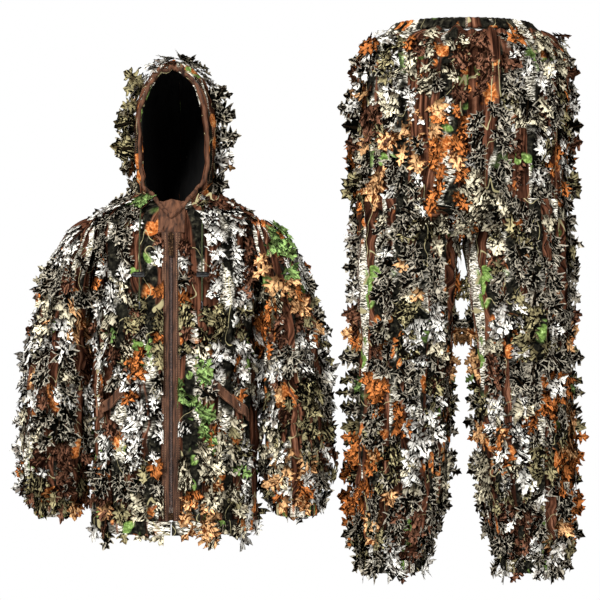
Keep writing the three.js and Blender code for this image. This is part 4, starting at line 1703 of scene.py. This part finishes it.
# ------------------------------------------------------------------ the hood
@dataclass
class Hood:
    """The hood: two dark-lined halves, the cord casing round the face and its leaves.

    Attributes:
        face: (share of the height, half width) pairs up the face opening.
    """

    face: tuple[tuple[float, float], ...] = (
        (0.0, 0.045), (0.10, 0.060), (0.25, 0.067), (0.45, 0.067), (0.64, 0.063), (0.82, 0.049),
        (0.94, 0.028), (1.0, 0.0),
    )  # fmt: skip

    def __post_init__(self) -> None:
        """Takes the hood's shape from the frame."""
        low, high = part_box("hood_left")
        wide, deep, tall = high.x, high.y, high.z - low.z
        self.low, self.high = low.z - 0.010, high.z
        shares = (
            (1.02, 0.02, 0.02), (1.0, 0.24, 0.32), (0.95, 0.50, 0.60), (0.86, 0.73, 0.81), (0.70, 0.94, 0.96),
            (0.48, 1.0, 1.0), (0.22, 0.98, 0.94), (0.0, 0.92, 0.74), (-0.04, 0.95, 0.72),
        )  # fmt: skip
        rings = [Ring(low.z + up * tall, across * wide, back * deep) for up, across, back in shares]
        self.form = Form(rings, fold=0.003, seed=31, blur=0.008, gathers=[(low.z, 0.0018)])
        self.face_low = low.z
        self.face_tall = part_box("hood_hem")[1].z - 0.005 - low.z
        self.link = Link("jacket", "hood", (0.0, -0.02, -0.01), (0.0, -0.02, 0.06))

    def face_edge(self, z: Array) -> Array:
        """The angle of the face opening's edge at each height.

        Args:
            z: the heights.

        Returns:
            The angle at each.
        """
        shares, halves = zip(*self.face)
        half = np.interp((z - self.face_low) / self.face_tall, shares, halves)
        half = np.where(z > self.face_low + self.face_tall, 0.0, half)
        return self.form.angle_of(half, z)

    def build(self) -> None:
        """Makes the two halves, the casing with its stitches, and the leaves."""
        common = dict(form=self.form, low=self.low, high=self.form.high, body="hood", step=0.005)
        common["finish"] = Finish.JACKET_PRINT
        left = Panel("hood_cloth_left", start=self.face_edge, stop=level(BACK), node="hood_left", **common)
        mirrored = dict(start=level(-BACK), stop=lambda z: -self.face_edge(z))
        right = Panel("hood_cloth_right", node="hood_right", **mirrored, **common)
        for half in (left, right):
            self.link.attach(half.build())
        self.link.attach(self.casing())
        back = Foliage(
            "hood_leaves", self.form, 0.004, self.form.high - 0.001, self.leaf_start,
            lambda z: 2 * math.pi - self.leaf_start(z), 33, 6,
            leaf_gap=0.012, size=0.036, lift=0.010, root=-0.004,
        )  # fmt: skip
        self.link.attach(back.build())
        for side, sign in SIDES.items():
            fringe = Foliage(
                f"hood_fringe_{side}", self.form, 0.030, self.form.high - 0.050, level(0.40 * math.pi),
                level(0.54 * math.pi), 35 + int(sign), 2, leaf_gap=0.030, size=0.046, lift=0.006,
                stand=0.92, hand=sign, root=0.007,
            )  # fmt: skip
            self.link.attach(fringe.build())

    def leaf_start(self, z: Array) -> Array:
        """Where the leaves start, a little behind the casing."""
        return np.maximum(self.face_edge(z) + 0.25, 0.42 * math.pi * (z < self.high - 0.04))

    def beside_face(self, x: Array, z: Array, away: float, out: float) -> Array:
        """Points on the hood's cloth, some way out from the edge of the face opening."""
        angle = self.form.angle_of(np.abs(x) + away, z) * np.sign(x)
        return self.form.place(angle, z, out)

    def puckers(self, share: Array) -> Array:
        """The casing's radius, gathered by the cord, at shares of the way round."""
        return 0.0037 + 0.0005 * np.sin(share * 190) * np.sin(share * 37)

    def casing(self) -> bpy.types.Object:
        """Makes the hem that carries the cord round the face, with its stitches.

        Returns:
            The hem's object.
        """
        half = spline([(x, self.face_low + share * self.face_tall) for share, x in self.face], 90)
        flat = np.vstack([half, half[-2::-1] * (-1, 1)])
        x, z = spline(flat[::4], 240).T
        z = np.clip(z, self.face_low, self.form.high - 0.004)
        path = self.beside_face(x, z, 0.0, SINK - 0.002)
        made = tube("face_casing", path, self.puckers, 14, Finish.BROWN)
        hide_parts("hood_hem")
        seam = self.beside_face(x, z, 0.009, SINK - 0.0005)
        self.link.attach(stitches("face_stitches", seam))
        return made


# ------------------------------------------------------------------ sleeves and trousers
@dataclass
class Sleeve:
    """One sleeve: front and back cloth, leaves, and a cuff with elastic inside.

    Attributes:
        side: "left" or "right", the wearer's.
    """

    side: str

    def __post_init__(self) -> None:
        """Takes the sleeve's shape from the frame."""
        self.sign = SIDES[self.side]
        low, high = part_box(f"sleeve_front_{self.side}")
        cuff_low, cuff_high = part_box(f"sleeve_cuff_{self.side}")
        root = min(abs(low.x), abs(high.x)) - 0.0003
        tall = high.z - low.z
        shares = (
            (0.0, 0.022, 0.032, -0.024), (0.03, 0.034, 0.058, -0.026), (0.10, 0.047, 0.070, -0.024),
            (0.20, 0.050, 0.074, -0.008), (0.36, 0.055, 0.076, 0.002), (0.54, 0.063, 0.076, 0.003),
            (0.74, 0.067, 0.074, 0.005), (0.91, 0.061, 0.068, 0.012), (0.99, 0.050, 0.057, 0.021),
        )  # fmt: skip
        rings = []
        for down, half_width, half_depth, clear in shares:
            x = self.sign * (root + clear + half_width)
            rings.append(Ring(high.z - down * tall, half_width, half_depth, x))
        middle = (cuff_low.x + cuff_high.x) / 2
        cuff = ((cuff_high.x - cuff_low.x) / 2, cuff_high.y, middle)
        rings.insert(0, Ring(high.z + 0.006, 0.006, 0.010, rings[0].x))
        rings += [Ring(cuff_high.z, *cuff), Ring(cuff_low.z, *cuff)]
        gathers = [(cuff_high.z + 0.01, 0.0035)]
        self.form = Form(rings, fold=0.0055, seed=41 if self.sign > 0 else 47, blur=0.010, gathers=gathers)
        self.low, self.high = cuff_high.z, high.z + 0.004
        self.root = root
        start, end = (self.sign * root, 0.0, -0.085), (self.sign * root, 0.0, -0.20)
        self.link = Link("jacket", f"sleeve_{self.side}", start, end)

    def outside(self, points: Array) -> Array:
        """True for the places outside the armhole."""
        inside = np.hypot(points[:, 1], points[:, 2] - ARMHOLE_Z) < ARMHOLE_RADIUS
        return ~(inside & (np.abs(points[:, 0]) < self.root + 0.02))

    def clear(self, points: Array) -> Array:
        """True for the sewing places that don't lie against the trunk."""
        return (np.abs(points[:, 0]) >= self.root + 0.016) | (points[:, 2] <= -0.17)

    def calm(self, points: Array) -> Array:
        """How freely leaves stand off the cloth: less near the shoulder, which swings."""
        return np.clip((-0.06 - points[:, 2]) / 0.12, 0.15, 1)

    def build(self) -> None:
        """Makes the whole sleeve."""
        common = dict(form=self.form, low=self.low, high=self.high, body="", keep=self.outside)
        common["finish"] = Finish.JACKET_PRINT
        for half, start in (("front", -SIDE), ("back", SIDE)):
            edges = dict(start=level(start), stop=level(start + BACK))
            name, node = f"sleeve_cloth_{half}_{self.side}", f"sleeve_{half}_{self.side}"
            self.link.attach(Panel(name, node=node, **edges, **common).build())
        cuff = Band(f"cuff_{self.side}", f"sleeve_cuff_{self.side}", Finish.JACKET_PRINT, 22, 0.0012)
        self.link.attach(cuff.build(self.form, -0.004))
        name, node = f"cuff_stretch_{self.side}", f"sleeve_elastic_{self.side}"
        elastic = Band(name, node, Finish.ELASTIC, 30, 0.0003, "elastic")
        self.link.attach(elastic.build(self.form, -0.0115))
        seed = 43 if self.sign > 0 else 49
        leaves = Foliage(
            f"sleeve_leaves_{self.side}", self.form, self.low + 0.001, self.high, *ALL_ROUND, seed, 7,
            leaf_gap=0.0100, size=0.043, lift=0.012, keep=self.clear, calm=self.calm,
        )  # fmt: skip
        self.link.attach(leaves.build())
        fringe = Foliage(
            f"sleeve_fringe_{self.side}", self.form, self.low, -0.13,
            level(0.36 * math.pi), level(0.64 * math.pi), seed + 1, 2,
            leaf_gap=0.020, size=0.038, lift=0.006, stand=0.85, hand=self.sign, root=0.017,
            palette=EDGE_PALETTE,
        )  # fmt: skip
        self.link.attach(fringe.build())


@dataclass
class Trousers:
    """The trousers: gathered waist, seat, two mirrored legs, cuffs and leaves."""

    def __post_init__(self) -> None:
        """Takes the seat's shape from the frame."""
        low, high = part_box("waistband")
        seat_low, seat_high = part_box("seat_front_left")
        self.middle = (low.x + high.x) / 2
        self.hip_line = seat_low.z
        wide = seat_high.x - self.middle
        deep = -seat_low.y
        waist, waist_deep = (high.x - low.x) / 2, high.y
        shares = (
            (1.0, 0.80, 0.86), (0.955, 0.89, 0.92), (0.87, 0.96, 0.968), (0.65, 1.0, 1.0), (0.0, 1.0, 0.95),
        )  # fmt: skip
        tall = seat_high.z - seat_low.z
        rings = [Ring(high.z, 0.93 * waist, 0.96 * waist_deep, self.middle)]
        rings += [Ring(low.z, waist, waist_deep, self.middle)]
        for up, across, back in shares:
            rings.append(Ring(seat_low.z + up * tall - 0.001, across * wide, back * deep, self.middle))
        gusset = ((0.006, 0.97, 0.94), (0.022, 0.55, 0.84), (0.040, 0.26, 0.66), (0.060, 0.08, 0.36))
        for drop, across, back in gusset:
            rings.append(Ring(seat_low.z - drop, across * wide, back * deep, self.middle))
        self.form = Form(rings, fold=0.005, seed=61, blur=0.012, gathers=[(low.z - 0.008, 0.0035)])
        self.waist_low = low.z

    def shown(self, points: Array) -> Array:
        """True for the seat's sewing places that the legs don't cover."""
        return (points[:, 2] > self.hip_line + 0.004) | (np.abs(points[:, 0] - self.middle) < 0.045)

    def calm(self, points: Array) -> Array:
        """How freely a leg's leaves stand off the cloth: less along its inner and outer edge."""
        across = np.abs(points[:, 0] - self.middle)
        return np.clip(np.minimum((across - 0.03) / 0.05, (0.23 - across) / 0.04), 0.15, 1)

    def off_the_inside(self, points: Array) -> Array:
        """True for a leg's sewing places that don't face the other leg closely."""
        return (np.abs(points[:, 0] - self.middle) > 0.040) | (points[:, 2] < -0.60)

    def seat(self) -> None:
        """Makes the seat's four panels and the waist."""
        link = Link("trousers")
        common = dict(
            form=self.form, low=self.form.low + 0.002, high=self.waist_low + 0.001, body="trousers",
            finish=Finish.TROUSER_PRINT,
        )  # fmt: skip
        quarters = {
            "seat_front_left": (FRONT, SIDE), "seat_back_left": (SIDE, BACK),
            "seat_back_right": (-BACK, -SIDE), "seat_front_right": (-SIDE, FRONT),
        }  # fmt: skip
        for node, (start, stop) in quarters.items():
            panel = Panel(node + "_cloth", start=level(start), stop=level(stop), node=node, **common)
            link.attach(panel.build())
        band = Band("waist", "waistband", Finish.TROUSER_PRINT, 64, 0.0022)
        link.attach(band.build(self.form, -0.004))
        elastic = Band("waist_stretch", "waist_elastic", Finish.ELASTIC, 80, 0.0004, "elastic")
        link.attach(elastic.build(self.form, -0.0120))
        leaves = Foliage(
            "seat_leaves", self.form, self.hip_line - 0.04, self.waist_low - 0.004, *ALL_ROUND, 63, 16,
            leaf_gap=0.0105, size=0.044, lift=0.009, keep=self.shown,
            palette={LeafTone.GREEN: 0.3, LeafTone.DARK: 1.3, LeafTone.PALE: 0.9},
        )  # fmt: skip
        link.attach(leaves.build())
        for side, sign in SIDES.items():
            fringe = Foliage(
                f"seat_fringe_{side}", self.form, self.hip_line, self.waist_low - 0.05, level(0.42 * math.pi),
                level(0.58 * math.pi), 65, 2,
                leaf_gap=0.024, size=0.042, lift=0.006, stand=0.85, hand=sign, root=0.013,
                palette=EDGE_PALETTE,
            )  # fmt: skip
            link.attach(fringe.build())

    def leg(self, side: str) -> None:
        """Makes one leg; the right leg mirrors the left one.

        Args:
            side: "left" or "right", the wearer's.
        """
        sign = SIDES[side]
        cuff_low, cuff_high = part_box(f"leg_cuff_{side}")
        tall = self.hip_line - cuff_high.z
        shares = (
            (-0.03, 0.1075, 0.1030, 0.113), (0.14, 0.1085, 0.1035, 0.106), (0.42, 0.1160, 0.094, 0.087),
            (0.80, 0.1240, 0.094, 0.086), (0.93, 0.132, 0.082, 0.072), (0.995, 0.140, 0.062, 0.055),
        )  # fmt: skip
        rings = []
        for down, x, half_width, half_depth in shares:
            rings.append(Ring(self.hip_line - down * tall, half_width, half_depth, self.middle + sign * x))
        oval = ((cuff_high.x - cuff_low.x) / 2, cuff_high.y, (cuff_low.x + cuff_high.x) / 2)
        rings += [Ring(cuff_high.z - 0.001, *oval), Ring(cuff_low.z, *oval)]
        form = Form(rings, fold=0.0055, seed=71, blur=0.014, gathers=[(cuff_high.z + 0.012, 0.0035)])
        hip = self.hip_line
        link = Link("trousers", f"leg_{side}", (self.middle, 0.0, hip), (self.middle, 0.0, hip - 0.10))
        common = dict(form=form, low=cuff_high.z, high=hip + 0.012, body="", finish=Finish.TROUSER_PRINT)
        for half, start in (("front", -SIDE), ("back", SIDE)):
            edges = dict(start=level(start), stop=level(start + BACK))
            name, node = f"leg_cloth_{half}_{side}", f"leg_{half}_{side}"
            link.attach(Panel(name, node=node, **edges, **common).build())
        cuff = Band(f"leg_end_{side}", f"leg_cuff_{side}", Finish.TROUSER_PRINT, 28, 0.0014)
        link.attach(cuff.build(form, -0.004))
        elastic = Band(f"leg_stretch_{side}", f"leg_elastic_{side}", Finish.ELASTIC, 34, 0.0003, "elastic")
        link.attach(elastic.build(form, -0.0115))
        leaves = Foliage(
            f"leg_leaves_{side}", form, cuff_low.z + 0.010, hip + 0.004, *ALL_ROUND, 73, 10,
            leaf_gap=0.0105, size=0.044, lift=0.011, hand=sign, calm=self.calm, keep=self.off_the_inside,
            palette={LeafTone.GREEN: 0.4, LeafTone.PALE: 0.5, LeafTone.DARK: 1.6, LeafTone.KHAKI: 1.5},
        )  # fmt: skip
        link.attach(leaves.build())
        for seam, middle, drop, size in (("outer", 0.5, 0.02, 0.044), ("inner", -0.5, 0.13, 0.034)):
            fringe = Foliage(
                f"leg_fringe_{seam}_{side}", form, cuff_high.z + 0.01, hip - drop,
                level((middle - 0.10) * math.pi), level((middle + 0.10) * math.pi), 75, 2,
                leaf_gap=0.020, size=size, lift=0.006, stand=0.85, hand=sign, root=0.013,
                palette={LeafTone.PALE: 0.5, LeafTone.DARK: 1.8, LeafTone.KHAKI: 1.4},
            )  # fmt: skip
            link.attach(fringe.build())

    def build(self) -> None:
        """Makes the whole pair of trousers."""
        self.seat()
        for side in SIDES:
            self.leg(side)


# ------------------------------------------------------------------ hood cords
@dataclass
class HoodCord:
    """One hood cord: eyelet, braided cord, barrel lock with its button and spring, and tip.

    Attributes:
        side: "left" or "right", the wearer's.
        diameter: the cord's diameter, in metres.
    """

    side: str
    diameter: float = 0.003

    def build(self) -> None:
        """Makes the cord and its fittings."""
        sign = SIDES[self.side]
        ring_low, ring_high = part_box(f"cord_eyelet_{self.side}")
        tip_low, tip_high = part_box(f"cord_tip_{self.side}")
        lock_low, lock_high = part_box(f"cord_lock_{self.side}")
        eyelet = (ring_low + ring_high) / 2
        down = (tip_low + tip_high) / 2
        lock = (lock_low + lock_high) / 2
        x, front = down.x, down.y
        # From the eyelet forward over the neck's edge, then straight down through the lock to the tip.
        path = [
            (eyelet.x, eyelet.y - 0.001, eyelet.z + 0.001),
            (eyelet.x + sign * 0.001, eyelet.y - 0.007, eyelet.z - 0.003),
            (x, -0.108, -0.043),
            (x, -0.115, -0.060),
            (x, -0.1206, -0.081),
            (x, front, -0.104),
            (x, front, lock.z),
            (x, front, -0.185),
            (x, front, tip_high.z + 0.001),
        ]
        points = spline(path, 60)
        curve = bpy.data.curves.new(f"cord_{self.side}", "CURVE")
        curve.dimensions = "3D"
        curve.bevel_depth = self.diameter / 2
        curve.bevel_resolution = 5
        line = curve.splines.new("POLY")
        line.points.add(len(points) - 1)
        for point, place in zip(line.points, points):
            point.co = (*place, 1.0)
        curve.materials.append(Finish.CORD.material())
        cord = bpy.data.objects.new(f"cord_{self.side}", curve)
        bpy.context.scene.collection.objects.link(cord)
        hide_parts(f"hood_cord_{self.side}")
        Link("jacket").attach(cord)
        tip = self.tip(down, tip_high.z - tip_low.z)
        wear(f"cord_eyelet_{self.side}", Finish.PLASTIC, 0.0003)
        wear(f"cord_lock_{self.side}", Finish.PLASTIC, 0.0006)
        wear(f"cord_lock_button_{self.side}", Finish.PLASTIC, 0.0006)
        wear(f"cord_lock_spring_{self.side}", Finish.STEEL, 0.0001)

    def tip(self, centre: Vector, length: float) -> bpy.types.Object:
        """Makes the moulded end that stops the cord fraying.

        Args:
            centre: where its middle is, in metres.
            length: its length, in metres.

        Returns:
            The tip's object.
        """
        half = length / 2
        outline = [
            (0.0, half), (0.0012, half), (0.0017, half - 0.0006), (0.0020, half - 0.003),
            (0.0023, half - 0.004), (0.0023, -half + 0.004), (0.0021, -half + 0.0015),
            (0.0014, -half + 0.0003), (0.0, -half),
        ]  # fmt: skip
        made = spun(f"tip_{self.side}", outline, centre, Finish.PLASTIC)
        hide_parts(f"cord_tip_{self.side}")
        return Link("jacket").attach(made)


# ------------------------------------------------------------------ stage
@dataclass(frozen=True)
class Studio:
    """A plain pale sweep, soft lights and the camera.

    Attributes:
        away: the camera's distance from the suit, in metres.
        view_width: how much the camera sees across at the suit.
        centre_x: the middle of the view, across.
        centre_z: the middle of the view, in height.
        ambient: how bright the surroundings are to the suit; the camera sees them at 1.
    """

    away: float = 3.0
    view_width: float = 1.2
    centre_x: float = 0.248
    centre_z: float = -0.204
    ambient: float = 0.26

    def camera(self) -> None:
        """Places the camera level with the middle of the suit, straight in front."""
        data = bpy.data.cameras.new("camera")
        data.sensor_width = 36.0
        data.lens = data.sensor_width * self.away / self.view_width
        made = bpy.data.objects.new("camera", data)
        made.location = (self.centre_x, -self.away, self.centre_z)
        made.rotation_euler = (math.pi / 2, 0.0, 0.0)
        bpy.context.scene.collection.objects.link(made)
        bpy.context.scene.camera = made

    def floor(self) -> None:
        """A pale floor well below the hung suit."""
        low, half = CAD_BOX[0][2] - 1.7, 7.0
        points = [(x, y, low) for y in (-half, half) for x in (-half, half)]
        made = mesh_object("floor", np.array(points), grid_faces(2, 2))
        web = Web("pale_floor")
        web.shader.inputs["Base Color"].default_value = (0.92, 0.92, 0.92, 1.0)
        web.shader.inputs["Roughness"].default_value = 0.9
        web.shader.inputs["Emission Color"].default_value = (1.0, 1.0, 1.0, 1.0)
        web.shader.inputs["Emission Strength"].default_value = 0.4
        made.data.materials.append(web.material)

    def light(
        self, name: str, place: Sequence[float], aim: Sequence[float], size: float, power: float
    ) -> None:
        """Adds one soft area light.

        Args:
            name: the light's name.
            place: where it stands.
            aim: the point that it faces.
            size: its width and height, in metres.
            power: its power, in watts.
        """
        data = bpy.data.lights.new(name, "AREA")
        data.shape = "SQUARE"
        data.size = size
        data.energy = power
        made = bpy.data.objects.new(name, data)
        made.location = place
        made.rotation_euler = (Vector(aim) - Vector(place)).to_track_quat("-Z", "Y").to_euler()
        bpy.context.scene.collection.objects.link(made)

    def build(self) -> None:
        """Makes the floor, the lights and the pale surroundings."""
        self.floor()
        aim = (self.centre_x, 0.0, self.centre_z)
        self.light("key", (-1.5, -3.0, 2.1), aim, 1.1, 350)
        self.light("back", (1.6, 3.0, 2.2), aim, 1.6, 230)
        self.light("fill", (2.6, -2.8, 0.6), aim, 1.8, 85)
        world = bpy.data.worlds.new("surroundings")
        world.use_nodes = True
        tree = world.node_tree
        shade = tree.nodes["Background"]
        shade.inputs["Color"].default_value = (1.0, 1.0, 1.0, 1.0)
        seen = tree.nodes.new("ShaderNodeLightPath")  # the camera sees them white, the suit gets less
        glow = tree.nodes.new("ShaderNodeMapRange")
        glow.inputs["To Min"].default_value = self.ambient
        tree.links.new(seen.outputs["Is Camera Ray"], glow.inputs["Value"])
        tree.links.new(glow.outputs["Result"], shade.inputs["Strength"])
        bpy.context.scene.world = world
        bpy.context.scene.view_settings.view_transform = "Standard"


def main() -> None:
    """Builds the suit piece by piece, then its stage."""
    studio = Studio()
    studio.camera()
    for side in SIDES:
        HoodCord(side).build()
    Jacket().build()
    Zip().build()
    Hood().build()
    for side in SIDES:
        Sleeve(side).build()
    Trousers().build()
    studio.build()


if __name__ == "__main__":
    logging.basicConfig(level=logging.INFO, format="%(name)s: %(message)s")
    main()
